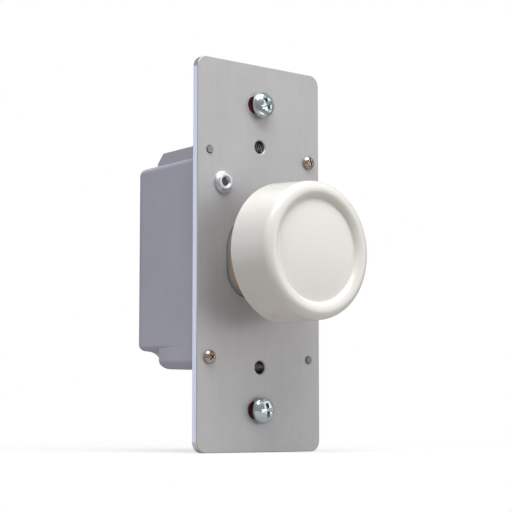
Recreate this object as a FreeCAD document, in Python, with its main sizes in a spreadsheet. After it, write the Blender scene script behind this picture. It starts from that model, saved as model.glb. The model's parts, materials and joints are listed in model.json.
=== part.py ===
"""A one-gang rotary dimmer switch with a push-on, push-off knob, in millimetres.

The origin is the centre of the yoke's back face, the face that bears on the wall box.
+X is to the right and +Z is up for someone who faces the wall, and +Y goes into the wall.
"""

import FreeCAD, Part

import math
import os
import re

import Sketcher

# Driving dimensions
SIZE = {
    # yoke plate
    "yoke_width": 43.7,
    "yoke_length": 105.8,
    "yoke_thick": 1.9,
    "yoke_corner": 3.0,
    "yoke_edge": 0.25,
    "window_width": 23.2,
    "window_top_round": 10.6,
    "window_low_round": 7.9,
    "window_edge": 0.4,
    "cover_spacing": 60.33,
    "cover_hole": 3.5,
    "cover_hole_edge": 0.3,
    "cover_collar": 2.6,
    "cover_collar_length": 2.4,
    "box_spacing": 83.34,
    "slot_length": 8.6,
    "slot_height": 4.8,
    "fixing_width": 35.4,
    "fixing_height": 55.4,
    "hole_play": 0.2,
    # moulded housing
    "housing_width": 40.8,
    "housing_height": 51.8,
    "housing_depth": 29.1,
    "housing_wall": 1.5,
    "housing_floor": 1.6,
    "draft": 1.2,
    "back_round": 4.2,
    "side_round": 1.45,
    "floor_round": 2.4,
    "ear_width": 9.0,
    "ear_depth": 16.9,
    "ear_round": 2.4,
    "ear_root": 2.8,
    "screw_ear_margin": 3.2,
    "screw_ear_least": 4.6,
    "peg_ear_margin": 1.3,
    "peg_ear_least": 2.6,
    "peg_ear_inset": 0.8,
    "peg_ear_depth": 19.1,
    "peg_ear_bevel": 2.6,
    "peg_ear_round": 0.7,
    "gusset_radius": 9.0,
    "gusset_height": 3.0,
    "gusset_inset": 1.0,
    "peg_radius": 0.95,
    "peg_proud": 0.4,
    "post_radius": 1.9,
    "post_side": 2.0,
    "post_end": 3.4,
    "lead_hole": 4.0,
    "lead_spacing": 14.0,
    "lead_height": 12.0,
    # knob
    "knob_radius": 19.0,
    "knob_gap": 10.5,
    "knob_side": 11.3,
    "knob_wall": 1.8,
    "knob_roof": 2.1,
    "knob_slope": 0.9,
    "bead_ring": 15.9,
    "bead_radius": 2.4,
    "disc_rise": 0.8,
    "disc_dome": 0.4,
    "hub_radius": 5.4,
    "hub_recess": 1.0,
    "rib_thick": 1.0,
    "rib_depth": 3.0,
    "rib_count": 6,
    # fits and gaps
    "running_fit": 0.05,
    "seat_play": 0.03,
    "clear_gap": 0.3,
    # shaft and the clip that grips it in the knob
    "shaft_radius": 3.0,
    "shaft_flat": 2.2,
    "shaft_bevel": 0.5,
    "shoulder_radius": 4.4,
    "shoulder_thick": 0.9,
    "push_travel": 2.0,
    "clip_thick": 0.4,
    "clip_width": 3.0,
    "clip_margin": 1.0,
    # bearing cover
    "bearing_gap": 0.5,
    "bearing_inset": 0.2,
    "collar_radius": 6.6,
    "collar_length": 2.8,
    "flange_width": 26.4,
    "flange_corner": 3.0,
    "flange_thick": 1.5,
    # rotor and wiper
    "rotor_hub": 5.0,
    "rotor_radius": 10.2,
    "rotor_thick": 1.8,
    "rotor_tail": 1.4,
    "lug_width": 3.2,
    "lug_reach": 11.25,
    "half_turn": 150.0,
    "wiper_thick": 0.3,
    "wiper_radius": 8.8,
    "wiper_width": 1.8,
    # resistor track and its case
    "case_radius": 12.9,
    "case_wall": 1.2,
    "case_length": 7.0,
    "case_back": 1.0,
    "case_bore": 6.0,
    "stop_inner": 10.6,
    "track_thick": 1.2,
    "track_play": 0.1,
    "track_bore": 5.6,
    "pin_radius": 0.4,
    "pin_pitch": 3.5,
    "pin_drop": 9.6,
    # switch
    "switch_width": 22.0,
    "switch_height": 16.0,
    "switch_length": 12.0,
    "switch_wall": 1.2,
    "plunger_radius": 3.5,
    "plunger_flange": 4.8,
    "plunger_thick": 1.5,
    "stem_radius": 2.0,
    "stem_overlap": 0.6,
    "spring_radius": 2.9,
    "spring_wire": 0.5,
    "spring_turns": 5,
    "bridge_length": 16.8,
    "bridge_width": 4.8,
    "contact_thick": 0.6,
    "button_radius": 1.3,
    "button_spacing": 13.2,
    "blade_width": 3.2,
    # circuit board and what stands on it
    "board_gap": 1.5,
    "board_thick": 1.6,
    "board_corner": 2.5,
    "board_hole_play": 0.3,
    "pin_through": 0.8,
    # power device, its pad and its rivet
    "rivet_left": 13.0,
    "rivet_shank": 1.55,
    "rivet_head": 3.1,
    "rivet_dome": 1.3,
    "rivet_bore": 1.1,
    "rivet_flare": 2.4,
    "rivet_tail": 1.2,
    "pad_thick": 0.3,
    "tab_thick": 1.27,
    "tab_length": 6.3,
    "tab_end": 2.8,
    "package_length": 9.0,
    "package_low_gap": 1.3,
    "package_high_gap": 0.3,
    "package_thick": 4.4,
    "leg_share": 0.2646,
    "leg_width": 0.8,
    "leg_thick": 0.5,
    "leg_reach": 2.9,
    "leg_height": 2.6,
    # choke
    "choke_left": 9.2,
    "choke_gap": 0.97,
    "core_share": 0.55,
    "core_height": 5.0,
    "winding_build": 1.0,
    # capacitors, resistors and trigger diode
    "film_length": 16.5,
    "film_width": 6.0,
    "film_height": 10.4,
    "film_right": 1.0,
    "film_low": 10.0,
    "timer_length": 7.2,
    "timer_width": 2.5,
    "timer_height": 6.5,
    "timer_left": 6.0,
    "resistor_radius": 1.15,
    "resistor_length": 6.3,
    "diac_radius": 0.95,
    "diac_length": 3.8,
    "diac_low": -12.0,
    "axial_left": 5.0,
    "axial_lead": 0.3,
    "axial_span": 1.2,
    "axial_rise": 0.2,
    # wall-box screws and their fibre retainers
    "screw_radius": 1.75,
    "screw_length": 19.0,
    "screw_neck": 1.4,
    "neck_past": 0.6,
    "screw_head": 3.6,
    "screw_head_height": 2.4,
    "screw_head_round": 1.5,
    "screw_stand": 1.0,
    "screw_slot": 1.0,
    "screw_cross": 4.0,
    "screw_cross_depth": 1.3,
    "retainer_radius": 5.2,
    "retainer_thick": 0.8,
    # housing screws
    "small_screw": 1.25,
    "small_length": 9.5,
    "small_head": 1.9,
    "small_head_height": 1.5,
    "small_head_round": 0.6,
    "small_cross": 2.6,
    "small_cross_width": 0.6,
    "small_cross_depth": 0.8,
}

# Depths along Y, from the front of the knob to the floor of the housing
YOKE_FRONT = "(-yoke_thick)"
RIM = f"({YOKE_FRONT} - knob_gap)"
BEAD = f"({RIM} - knob_side)"
DISC = f"({BEAD} - disc_rise)"
ROOF = f"({DISC} + knob_roof)"
HUB_BACK = f"({RIM} - hub_recess)"
BOSS_FRONT = f"({YOKE_FRONT} + bearing_inset)"
COLLAR_FRONT = f"({BOSS_FRONT} - collar_length)"
ROTOR_FRONT = f"({COLLAR_FRONT} + clear_gap)"
ROTOR_DISC = "(flange_thick + clear_gap)"
ROTOR_BACK = f"({ROTOR_DISC} + rotor_thick)"
TAIL_BACK = f"({ROTOR_BACK} + rotor_tail)"
CASE_BACK = "(flange_thick + case_length)"
TRACK_BACK = f"({CASE_BACK} - case_back)"
TRACK_FRONT = f"({TRACK_BACK} - track_thick)"
SHOULDER_FRONT = f"({TAIL_BACK} + clear_gap)"
SHOULDER_BACK = f"({SHOULDER_FRONT} + shoulder_thick)"
PLUNGER_FRONT = f"({SHOULDER_BACK} + clear_gap)"
COVER_BACK = f"({CASE_BACK} + switch_wall)"
FLANGE_FRONT = f"({COVER_BACK} + clear_gap)"
FLANGE_BACK = f"({FLANGE_FRONT} + plunger_thick)"
BRIDGE_BACK = f"({FLANGE_BACK} + contact_thick)"
BUTTON_BACK = f"({BRIDGE_BACK} + contact_thick)"
FIXED_FRONT = f"({BUTTON_BACK} + push_travel + clear_gap)"
BOARD_FRONT = f"({CASE_BACK} + switch_length)"
SWITCH_FLOOR = f"({BOARD_FRONT} - switch_wall)"
BOARD_BACK = f"({BOARD_FRONT} + board_thick)"
FLOOR = "(housing_depth - housing_floor)"

# Heights and places up the plate that follow the box and the fixings
EAR_ROOT = "min(housing_height / 2 - side_round; fixing_height / 2 - ear_root)"
SCREW_REACH = "max(fixing_height / 2 + screw_ear_margin; housing_height / 2 + screw_ear_least)"
PEG_REACH = "max(fixing_height / 2 + peg_ear_margin; housing_height / 2 + peg_ear_least)"
ROOM = "min(housing_height / 2 - housing_wall; fixing_height / 2 - ear_root)"
BOARD_WIDTH = "(housing_width - 2 * housing_wall - 2 * board_gap)"
BOARD_HEIGHT = "(housing_height - 2 * housing_wall - 2 * board_gap)"
PACKAGE_WIDTH = f"({ROOM} - flange_width / 2 - package_low_gap - package_high_gap)"
RIVET_HEIGHT = f"(flange_width / 2 + package_low_gap + {PACKAGE_WIDTH} / 2)"
LEG_PITCH = f"({PACKAGE_WIDTH} * leg_share)"
CORE_OUTER = f"(({ROOM} - switch_height / 2) / 2 - choke_gap - winding_build - seat_play)"
CORE_INNER = f"({CORE_OUTER} * core_share)"
CHOKE_DROP = f"(switch_height / 2 + choke_gap + winding_build + seat_play + {CORE_OUTER})"
SPARE = f"((({BOARD_HEIGHT} - switch_height) / 2 - timer_width - 4 * resistor_radius) / 4)"
TIMER_LOW = f"(switch_height / 2 + {SPARE})"
RESISTOR_LOW = f"({TIMER_LOW} + timer_width + {SPARE} + resistor_radius)"
RESISTOR_HIGH = f"({RESISTOR_LOW} + {SPARE} + 2 * resistor_radius)"

doc = FreeCAD.newDocument("rotary_dimmer")
sheet = doc.addObject("Spreadsheet::Sheet", "sizes")
for row, (alias, value) in enumerate(SIZE.items(), 1):
    sheet.set(f"A{row}", alias)
    sheet.set(f"B{row}", str(value))
    sheet.setAlias(f"B{row}", alias)
doc.recompute()
nodes = []


def formula(words):
    """The same formula, with each size read from the sheet."""
    return re.sub(r"[a-z_]+", lambda word: f"sizes.{word[0]}" if word[0] in SIZE else word[0], words)


def bind(thing, prop, words):
    thing.setExpression(prop, formula(words))


def node(name, shape):
    """Names a finished sub-part."""
    shape.Label = name
    nodes.append(shape)
    return shape


# Sketches and features
def make_body(name):
    return node(name, doc.addObject("PartDesign::Body", f"{name}_body"))


def make_sketch(body, name, plane="XZ_Plane", depth="0"):
    """A sketch on one of the body's own planes. On XZ, depth is the sketch's place along Y."""
    sketch = body.newObject("Sketcher::SketchObject", name)
    planes = {feature.Role: feature for feature in body.Origin.OriginFeatures}
    sketch.AttachmentSupport = (planes[plane], "")
    sketch.MapMode = "FlatFace"
    bind(sketch, "AttachmentOffset.Base.z", f"-({depth})" if plane == "XZ_Plane" else depth)
    return sketch


def constrain(sketch, kind, geometry, *place, words):
    """A constraint whose value is a formula."""
    number = sketch.addConstraint(Sketcher.Constraint(kind, geometry, *place))
    bind(sketch, f"Constraints[{number}]", words)


def fix(sketch, geometry, point, x=None, y=None):
    """Fixes a point of the sketch at x, y, each a formula."""
    here = sketch.getPoint(geometry, point)
    if x is not None:
        constrain(sketch, "DistanceX", geometry, point, here.x, words=x)
    if y is not None:
        constrain(sketch, "DistanceY", geometry, point, here.y, words=y)


def join(sketch, *points):
    sketch.addConstraint(Sketcher.Constraint("Coincident", *points))


def add_line(sketch, start, end):
    return sketch.addGeometry(Part.LineSegment(FreeCAD.Vector(*start), FreeCAD.Vector(*end)), False)


def add_arc(sketch, x, y, radius, start, end):
    circle = Part.Circle(FreeCAD.Vector(x, y), FreeCAD.Vector(0, 0, 1), radius)
    return sketch.addGeometry(Part.ArcOfCircle(circle, start, end), False)


def draw_polygon(sketch, corners):
    """A closed outline through corners, each a pair of formulas."""
    count = len(corners)
    turns = [math.tau * i / count for i in range(count + 1)]
    rough = [(math.cos(turn), math.sin(turn)) for turn in turns]
    sides = [add_line(sketch, rough[i], rough[i + 1]) for i in range(count)]
    for side, following in zip(sides, sides[1:] + sides[:1]):
        join(sketch, side, 2, following, 1)
    for side, (x, y) in zip(sides, corners):
        fix(sketch, side, 1, x, y)


def draw_rectangle(sketch, left, right, low, high):
    draw_polygon(sketch, [(left, low), (right, low), (right, high), (left, high)])


def draw_circle(sketch, x, y, radius):
    circle = sketch.addGeometry(Part.Circle(FreeCAD.Vector(), FreeCAD.Vector(0, 0, 1), 1), False)
    fix(sketch, circle, 3, x, y)
    constrain(sketch, "Radius", circle, 1, words=radius)


def draw_slot(sketch, y, length, height):
    """An oblong hole along X, centred on x = 0."""
    left = add_arc(sketch, -1, 0, 1, math.pi / 2, 3 * math.pi / 2)
    right = add_arc(sketch, 1, 0, 1, -math.pi / 2, math.pi / 2)
    top = add_line(sketch, (-1, 1), (1, 1))
    bottom = add_line(sketch, (-1, -1), (1, -1))
    join(sketch, left, 1, top, 1)
    join(sketch, right, 2, top, 2)
    join(sketch, left, 2, bottom, 1)
    join(sketch, right, 1, bottom, 2)
    for side, arc in ((-1, left), (1, right)):
        fix(sketch, arc, 3, f"{side} * ({length} - {height}) / 2", y)
        constrain(sketch, "Radius", arc, 1, words=f"{height} / 2")
        for end in (1, 2):
            sketch.addConstraint(Sketcher.Constraint("Vertical", arc, end, arc, 3))


def draw_flatted_circle(sketch, radius, flat):
    """A circle about the axis with a flat at x = flat. It starts as a rough shape of the right kind."""
    rough = math.sqrt(0.5)
    arc = add_arc(sketch, 0, 0, 1, math.pi / 4, 7 * math.pi / 4)
    side = add_line(sketch, (rough, rough), (rough, -rough))
    join(sketch, arc, 3, -1, 1)
    join(sketch, arc, 1, side, 1)
    join(sketch, arc, 2, side, 2)
    constrain(sketch, "Radius", arc, 3, words=radius)
    fix(sketch, side, 1, x=flat)
    fix(sketch, side, 2, x=flat)


def pad(body, sketch, length, into_wall=True):
    """Material from the sketch, into the wall (+Y) or out of it."""
    feature = body.newObject("PartDesign::Pad", f"{sketch.Name}_pad")
    feature.Profile = sketch
    feature.Reversed = into_wall
    bind(feature, "Length", length)
    return feature


def pocket(body, sketch, depth=None, into_wall=True):
    """A hole from the sketch, right through the body both ways when no depth is given."""
    feature = body.newObject("PartDesign::Pocket", f"{sketch.Name}_pocket")
    feature.Profile = sketch
    if depth is None:
        feature.Type = "ThroughAll"
        feature.Midplane = True
    else:
        feature.Reversed = not into_wall
        bind(feature, "Length", depth)
    return feature


def wedge(body, name, sides, back, hollow=False):
    """A block from the yoke's back to a depth, or a hollow in one, whose four sides lean in by the draft."""
    kind = "Subtractive" if hollow else "Additive"
    feature = body.newObject(f"PartDesign::{kind}Wedge", name)
    bind(feature, "Ymin", "0")
    bind(feature, "Ymax", back)
    lean = f"({back}) * tan(draft)"
    for axis, (low, high) in zip("XZ", sides):
        bind(feature, f"{axis}min", low)
        bind(feature, f"{axis}max", high)
        bind(feature, f"{axis}2min", f"{low} + {lean}")
        bind(feature, f"{axis}2max", f"{high} - {lean}")
    return feature


def revolve(body, sketch):
    """A full turn of a sketch on XY about the Y axis."""
    feature = body.newObject("PartDesign::Revolution", f"{sketch.Name}_turned")
    feature.Profile = sketch
    feature.ReferenceAxis = (sketch, ["V_Axis"])
    feature.Angle = 360
    return feature


def pick_edges(body, name, chosen):
    """The body's last feature and its edges that chosen(middle, ends, direction) picks."""
    doc.recompute()
    base = body.Tip
    found = []
    for number, edge in enumerate(base.Shape.Edges, 1):
        ends = [vertex.Point for vertex in edge.Vertexes]
        along = ends[-1] - ends[0]
        if along.Length > 0:
            along.normalize()
        if chosen(edge.CenterOfMass, ends, along):
            found.append(f"Edge{number}")
    if not found:
        raise RuntimeError(f"{name} has no edge to work on")
    return base, found


def round_edges(body, name, radius, chosen):
    base, found = pick_edges(body, name, chosen)
    feature = body.newObject("PartDesign::Fillet", name)
    feature.Base = (base, found)
    bind(feature, "Radius", radius)
    return feature


def break_edges(body, name, size, chosen):
    """A small even chamfer."""
    base, found = pick_edges(body, name, chosen)
    feature = body.newObject("PartDesign::Chamfer", name)
    feature.Base = (base, found)
    bind(feature, "Size", size)
    return feature


def near(a, b, within=0.01):
    return abs(a - b) < within


# Plain turned and cut solids
def make_rod(name, radius, start, end, x="0", z="0"):
    """A cylinder along Y."""
    rod = doc.addObject("Part::Cylinder", name)
    rod.Placement = FreeCAD.Placement(FreeCAD.Vector(), FreeCAD.Rotation(FreeCAD.Vector(1, 0, 0), -90))
    bind(rod, "Radius", radius)
    bind(rod, "Height", f"{end} - {start}")
    bind(rod, "Placement.Base.x", x)
    bind(rod, "Placement.Base.y", start)
    bind(rod, "Placement.Base.z", z)
    return rod


def make_block(name, left, right, front, back, low, high):
    block = doc.addObject("Part::Box", name)
    sides = (("Length", "x", left, right), ("Width", "y", front, back), ("Height", "z", low, high))
    for prop, axis, start, end in sides:
        bind(block, prop, f"({end}) - ({start})")
        bind(block, f"Placement.Base.{axis}", start)
    return block


def fuse(name, *pieces):
    whole = doc.addObject("Part::MultiFuse", name)
    whole.Shapes = list(pieces)
    whole.Refine = True
    return whole


def cut(name, base, *tools):
    left = doc.addObject("Part::Cut", name)
    left.Base = base
    left.Tool = tools[0] if len(tools) == 1 else fuse(f"{name}_tools", *tools)
    return left


def group(name, *solids):
    """Like pieces that share one node."""
    together = doc.addObject("Part::Compound", f"{name}_group")
    together.Links = list(solids)
    return node(name, together)


# Where the screws, pegs and pins stand: +1 is right or up, -1 left or down
SCREW_CORNERS = ((1, 1), (-1, -1))
PEG_CORNERS = ((-1, 1), (1, -1))
ALL_CORNERS = SCREW_CORNERS + PEG_CORNERS
PINS = (-1, 0, 1)


def at_fixing(corner):
    across, up = corner
    return f"{across} * fixing_width / 2", f"{up} * fixing_height / 2"


def yoke_plate():
    """The plate that carries everything and sinks the heat, with its window, slots and holes."""
    body = make_body("yoke_plate")
    outline = make_sketch(body, "yoke_outline")
    draw_rectangle(outline, "-yoke_width / 2", "yoke_width / 2", "-yoke_length / 2", "yoke_length / 2")
    pad(body, outline, "yoke_thick", into_wall=False)
    round_edges(body, "yoke_corners", "yoke_corner", lambda mid, ends, along: abs(along.y) > 0.9)
    face = -SIZE["yoke_thick"]
    round_edges(body, "yoke_front_edge", "yoke_edge", lambda mid, ends, along: near(mid.y, face))
    window = make_sketch(body, "yoke_window")
    half = "window_width / 2"
    draw_rectangle(window, f"-{half}", half, f"-{half}", half)
    pocket(body, window)
    corner = SIZE["window_width"] / 2
    round_four(body, "window", corner, "window_top_round", "window_low_round")
    round_edges(
        body,
        "window_front_edge",
        "window_edge",
        lambda mid, ends, along: all(near(p.y, face) for p in ends)
        and all(max(abs(p.x), abs(p.z)) < corner + 0.01 for p in ends),
    )
    collars = make_sketch(body, "cover_collars")
    for up in (1, -1):
        draw_circle(collars, "0", f"{up} * cover_spacing / 2", "cover_collar")
    pad(body, collars, "cover_collar_length")
    holes = make_sketch(body, "yoke_holes")
    for up in (1, -1):
        draw_slot(holes, f"{up} * box_spacing / 2", "slot_length", "slot_height")
        draw_circle(holes, "0", f"{up} * cover_spacing / 2", "cover_hole / 2")
    for corner in SCREW_CORNERS:
        draw_circle(holes, *at_fixing(corner), "small_screw + hole_play")
    for corner in PEG_CORNERS:
        draw_circle(holes, *at_fixing(corner), "peg_radius + hole_play")
    draw_circle(holes, "-rivet_left", RIVET_HEIGHT, "rivet_shank + seat_play")
    pocket(body, holes)
    level = SIZE["cover_spacing"] / 2
    reach = SIZE["cover_hole"]
    break_edges(
        body,
        "cover_hole_edges",
        "cover_hole_edge",
        lambda mid, ends, along: near(ends[0].y, face)
        and near(abs(ends[0].z), level, reach)
        and abs(ends[0].x) < reach,
    )


def round_four(body, name, corner, top, low):
    """Rounds the four corners of a square opening or boss, the upper two more than the lower two."""
    for words, up in ((top, 1), (low, -1)):
        round_edges(
            body,
            f"{name}_{'top' if up > 0 else 'low'}_corners",
            words,
            lambda mid, ends, along: near(abs(mid.x), corner) and near(up * mid.z, corner),
        )


def housing():
    """The moulded box: a drafted shell with four ears, gussets, pegs, board posts and lead holes."""
    body = make_body("housing")
    half_width = SIZE["housing_width"] / 2
    half_height = SIZE["housing_height"] / 2
    depth = SIZE["housing_depth"]
    box_lean = lean_over(depth)
    outside = (("-housing_width / 2", "housing_width / 2"), ("-housing_height / 2", "housing_height / 2"))
    wedge(body, "housing_block", outside, "housing_depth")
    round_edges(body, "housing_back_edges", "back_round", lambda mid, ends, along: near(mid.y, depth))
    round_edges(
        body,
        "housing_side_edges",
        "side_round",
        lambda mid, ends, along: all(near(abs(p.x), half_width, box_lean) for p in ends)
        and all(near(abs(p.z), half_height, box_lean) for p in ends)
        and abs(along.y) > 0.9,
    )
    half_inside = [f"({size} / 2 - housing_wall)" for size in ("housing_width", "housing_height")]
    wedge(body, "housing_cavity", [(f"-{half}", half) for half in half_inside], FLOOR, hollow=True)
    floor = depth - SIZE["housing_floor"]
    round_edges(body, "housing_floor_edges", "floor_round", lambda mid, ends, along: near(mid.y, floor))
    for corner in SCREW_CORNERS:
        add_ear(body, "screw_ear", corner, "housing_width / 2", SCREW_REACH, "ear_depth")
    for corner in PEG_CORNERS:
        side = "(housing_width / 2 - peg_ear_inset)"
        add_ear(body, "peg_ear", corner, side, PEG_REACH, "peg_ear_depth")
    round_ears(body, half_width, half_height)
    add_gussets(body, half_height)
    posts = make_sketch(body, "board_posts", depth=FLOOR)
    for across, up in ALL_CORNERS:
        x = f"{across} * ({BOARD_WIDTH} / 2 - post_side)"
        z = f"{up} * ({BOARD_HEIGHT} / 2 - post_end)"
        draw_circle(posts, x, z, "post_radius")
    pad(body, posts, f"{FLOOR} - {BOARD_BACK}", into_wall=False)
    leads = make_sketch(body, "lead_holes", depth="housing_depth")
    for across in (1, -1):
        draw_circle(leads, f"{across} * lead_spacing / 2", "lead_height", "lead_hole / 2")
    pocket(body, leads, "housing_floor", into_wall=False)
    pilots = make_sketch(body, "screw_pilots")
    for corner in SCREW_CORNERS:
        draw_circle(pilots, *at_fixing(corner), "small_screw + seat_play")
    pocket(body, pilots, "small_length - yoke_thick + clear_gap")
    pegs = make_sketch(body, "pegs")
    for corner in PEG_CORNERS:
        draw_circle(pegs, *at_fixing(corner), "peg_radius")
    pad(body, pegs, "yoke_thick + peg_proud", into_wall=False)


def lean_over(depth):
    """How far a drafted side leans in over a depth, and a little more, for finding its edges."""
    return depth * math.tan(math.radians(SIZE["draft"])) + 0.01


def add_ear(body, name, corner, side, reach, depth):
    """A block at one corner of the box, out to side in X and to reach in Z."""
    across, up = corner
    spans = ((across, "(housing_width / 2 - ear_width)", side), (up, EAR_ROOT, reach))
    sides = [(start, end) if sign > 0 else (f"-{end}", f"-{start}") for sign, start, end in spans]
    wedge(body, f"{name}_{'high' if up > 0 else 'low'}", sides, depth)


def round_ears(body, half_width, half_height):
    """Rounds the ears that take screws, and bevels the backs of the two with pegs."""
    lean = lean_over(max(SIZE["ear_depth"], SIZE["peg_ear_depth"]))
    inward = SIZE["ear_depth"] / 4
    fixing = SIZE["fixing_height"] / 2
    screw_reach = max(fixing + SIZE["screw_ear_margin"], half_height + SIZE["screw_ear_least"])
    peg_reach = max(fixing + SIZE["peg_ear_margin"], half_height + SIZE["peg_ear_least"])
    round_edges(
        body,
        "screw_ear_edges",
        "ear_round",
        lambda mid, ends, along: all(near(abs(p.z), screw_reach, lean) for p in ends)
        and mid.y > inward
        and (abs(along.x) > 0.9 or near(abs(mid.x), half_width, lean)),
    )

    def at_tip(mid, ends, along):
        return all(near(abs(p.z), peg_reach, lean) for p in ends) and mid.y > inward and abs(along.x) > 0.9

    break_edges(body, "peg_ear_bevels", "peg_ear_bevel", at_tip)
    round_edges(body, "peg_ear_edges", "peg_ear_round", at_tip)


def add_gussets(body, half_height):
    """A hollow-curved web between each screw ear's back and the box, which it meets without a step."""
    ear_depth, radius, height = SIZE["ear_depth"], SIZE["gusset_radius"], SIZE["gusset_height"]
    length = math.sqrt(radius**2 - (radius - height) ** 2)
    swing = math.atan((radius - height) / length)
    rough_base = half_height - lean_over(ear_depth)
    rough_root = half_height - SIZE["housing_wall"]
    near_ear = ear_depth - SIZE["gusset_inset"]
    far = "ear_depth + sqrt(gusset_radius ^ 2 - (gusset_radius - gusset_height) ^ 2)"
    inside_ear = "ear_depth - gusset_inset"
    for across, up in SCREW_CORNERS:
        outer = f"{across} * (housing_width / 2 - gusset_inset - ear_depth * tan(draft))"
        inner = f"{across} * (housing_width / 2 - ear_width + gusset_inset)"
        start = outer if across < 0 else inner
        web = make_sketch(body, f"gusset_{'low' if up < 0 else 'high'}", "YZ_Plane", depth=start)
        root = f"{up} * (housing_height / 2 - housing_wall)"
        base = "housing_height / 2 - ear_depth * tan(draft)"
        tip = f"{up} * ({base} + gusset_height)"
        middle = (ear_depth + length, up * (rough_base + radius))
        if up > 0:
            arc = add_arc(web, *middle, radius, math.pi + swing, 1.5 * math.pi)
            at_ear, at_box = 1, 2
        else:
            arc = add_arc(web, *middle, radius, math.pi / 2, math.pi - swing)
            at_ear, at_box = 2, 1
        rough = [
            (middle[0], up * rough_base),
            (middle[0], up * rough_root),
            (near_ear, up * rough_root),
            (near_ear, up * (rough_base + height)),
            (ear_depth, up * (rough_base + height)),
        ]
        sides = [add_line(web, here, there) for here, there in zip(rough, rough[1:])]
        for side, following in zip(sides, sides[1:]):
            join(web, side, 2, following, 1)
        join(web, arc, at_box, sides[0], 1)
        join(web, arc, at_ear, sides[-1], 2)
        fix(web, arc, 3, far, f"{up} * ({base} + gusset_radius)")
        constrain(web, "Radius", arc, radius, words="gusset_radius")
        fix(web, arc, at_box, x=far)
        fix(web, arc, at_ear, y=tip)
        fix(web, sides[0], 2, far, root)
        fix(web, sides[1], 2, inside_ear, root)
        fix(web, sides[2], 2, inside_ear, tip)
        feature = body.newObject("PartDesign::Pad", f"{web.Name}_pad")
        feature.Profile = web
        bind(feature, "Length", "ear_width - 2 * gusset_inset - ear_depth * tan(draft)")


def knob():
    """The moulded knob: a turned shell with a rolled rim and a shallow dished face, ribs and a hub."""
    body = make_body("knob")
    profile = make_sketch(body, "knob_profile", "XY_Plane")
    rim_y = -SIZE["yoke_thick"] - SIZE["knob_gap"]
    bead_x, bead_y, bead = SIZE["bead_ring"], rim_y - SIZE["knob_side"], SIZE["bead_radius"]
    disc_x = bead_x - math.sqrt(bead**2 - SIZE["disc_rise"] ** 2)
    disc_y = bead_y - SIZE["disc_rise"]
    roof_y = disc_y + SIZE["knob_roof"]
    hub_y = rim_y - SIZE["hub_recess"]
    hub, outside = SIZE["hub_radius"], SIZE["knob_radius"]
    inside = outside - SIZE["knob_wall"]
    dome = SIZE["disc_dome"]
    swing = (disc_x**2 + dome**2) / (2 * dome)
    lip = math.pi + math.atan(SIZE["disc_rise"] / (bead_x - disc_x))
    rim = add_arc(profile, bead_x, bead_y, bead, lip, math.tau)
    face = add_arc(
        profile, 0, disc_y - dome + swing, swing, 1.5 * math.pi, 1.5 * math.pi + math.asin(disc_x / swing)
    )
    corners = [
        ("knob_radius", RIM),
        ("knob_radius - knob_wall", RIM),
        ("knob_radius - knob_wall - knob_slope", ROOF),
        ("hub_radius", ROOF),
        ("hub_radius", HUB_BACK),
        ("0", HUB_BACK),
        ("0", f"{DISC} - disc_dome"),
    ]
    rough = [
        (bead_x + bead, bead_y),
        (outside, rim_y),
        (inside, rim_y),
        (inside - SIZE["knob_slope"], roof_y),
        (hub, roof_y),
        (hub, hub_y),
        (0, hub_y),
        (0, disc_y - dome),
    ]
    lines = [add_line(profile, rough[i], rough[i + 1]) for i in range(len(corners))]
    join(profile, rim, 2, lines[0], 1)
    profile.addConstraint(Sketcher.Constraint("Tangent", rim, lines[0]))
    for line, following in zip(lines, lines[1:]):
        join(profile, line, 2, following, 1)
    join(profile, lines[-1], 2, face, 1)
    join(profile, face, 2, rim, 1)
    profile.addConstraint(Sketcher.Constraint("PointOnObject", face, 3, -2))
    fix(profile, rim, 3, "bead_ring", BEAD)
    constrain(profile, "Radius", rim, bead, words="bead_radius")
    fix(profile, rim, 1, y=DISC)
    for line, (x, y) in zip(lines, corners):
        fix(profile, line, 2, x, y)
    revolve(body, profile)
    rib = make_sketch(body, "knob_rib", depth=ROOF)
    end = "knob_radius - knob_wall - rib_thick / 2"
    draw_rectangle(rib, "hub_radius - rib_thick", end, "-rib_thick / 2", "rib_thick / 2")
    rib_pad = pad(body, rib, "rib_depth")
    ribs = body.newObject("PartDesign::PolarPattern", "knob_ribs")
    ribs.Originals = [rib_pad]
    ribs.Axis = (rib, ["N_Axis"])
    ribs.Angle = 360
    bind(ribs, "Occurrences", "rib_count")
    body.Tip = ribs
    bore = make_sketch(body, "knob_bore", depth=HUB_BACK)
    draw_flatted_circle(bore, "shaft_radius + seat_play", "shaft_flat + clip_thick + 2 * seat_play")
    pocket(body, bore, f"{HUB_BACK} - {ROOF}", into_wall=False)


def knob_clip():
    """A bent strip that lies on the shaft's flat and hooks over the end of the knob's hub."""
    inner = "(shaft_flat + seat_play)"
    outer = "(shaft_flat + seat_play + clip_thick)"
    wide = "clip_width / 2"
    strip = make_block(
        "clip_strip", inner, outer, f"{ROOF} + clip_margin", f"{HUB_BACK} + clip_thick", f"-{wide}", wide
    )
    lip = make_block(
        "clip_lip", inner, "hub_radius", HUB_BACK, f"{HUB_BACK} + clip_thick", f"-{wide}", wide
    )
    node("knob_clip", fuse("clip", strip, lip))


def shaft():
    """The flatted shaft, with the shoulder that holds it in the rotor."""
    body = make_body("shaft")
    section = make_sketch(body, "shaft_section", depth=f"{ROOF} + clear_gap")
    draw_flatted_circle(section, "shaft_radius", "shaft_flat")
    pad(body, section, f"{SHOULDER_FRONT} - {ROOF} - clear_gap")
    doc.recompute()
    front = body.Shape.BoundBox.YMin
    round_edges(body, "shaft_tip", "shaft_bevel", lambda mid, ends, along: near(mid.y, front))
    shoulder = make_sketch(body, "shaft_shoulder", depth=SHOULDER_FRONT)
    draw_circle(shoulder, "0", "0", "shoulder_radius")
    pad(body, shoulder, "shoulder_thick")


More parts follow.
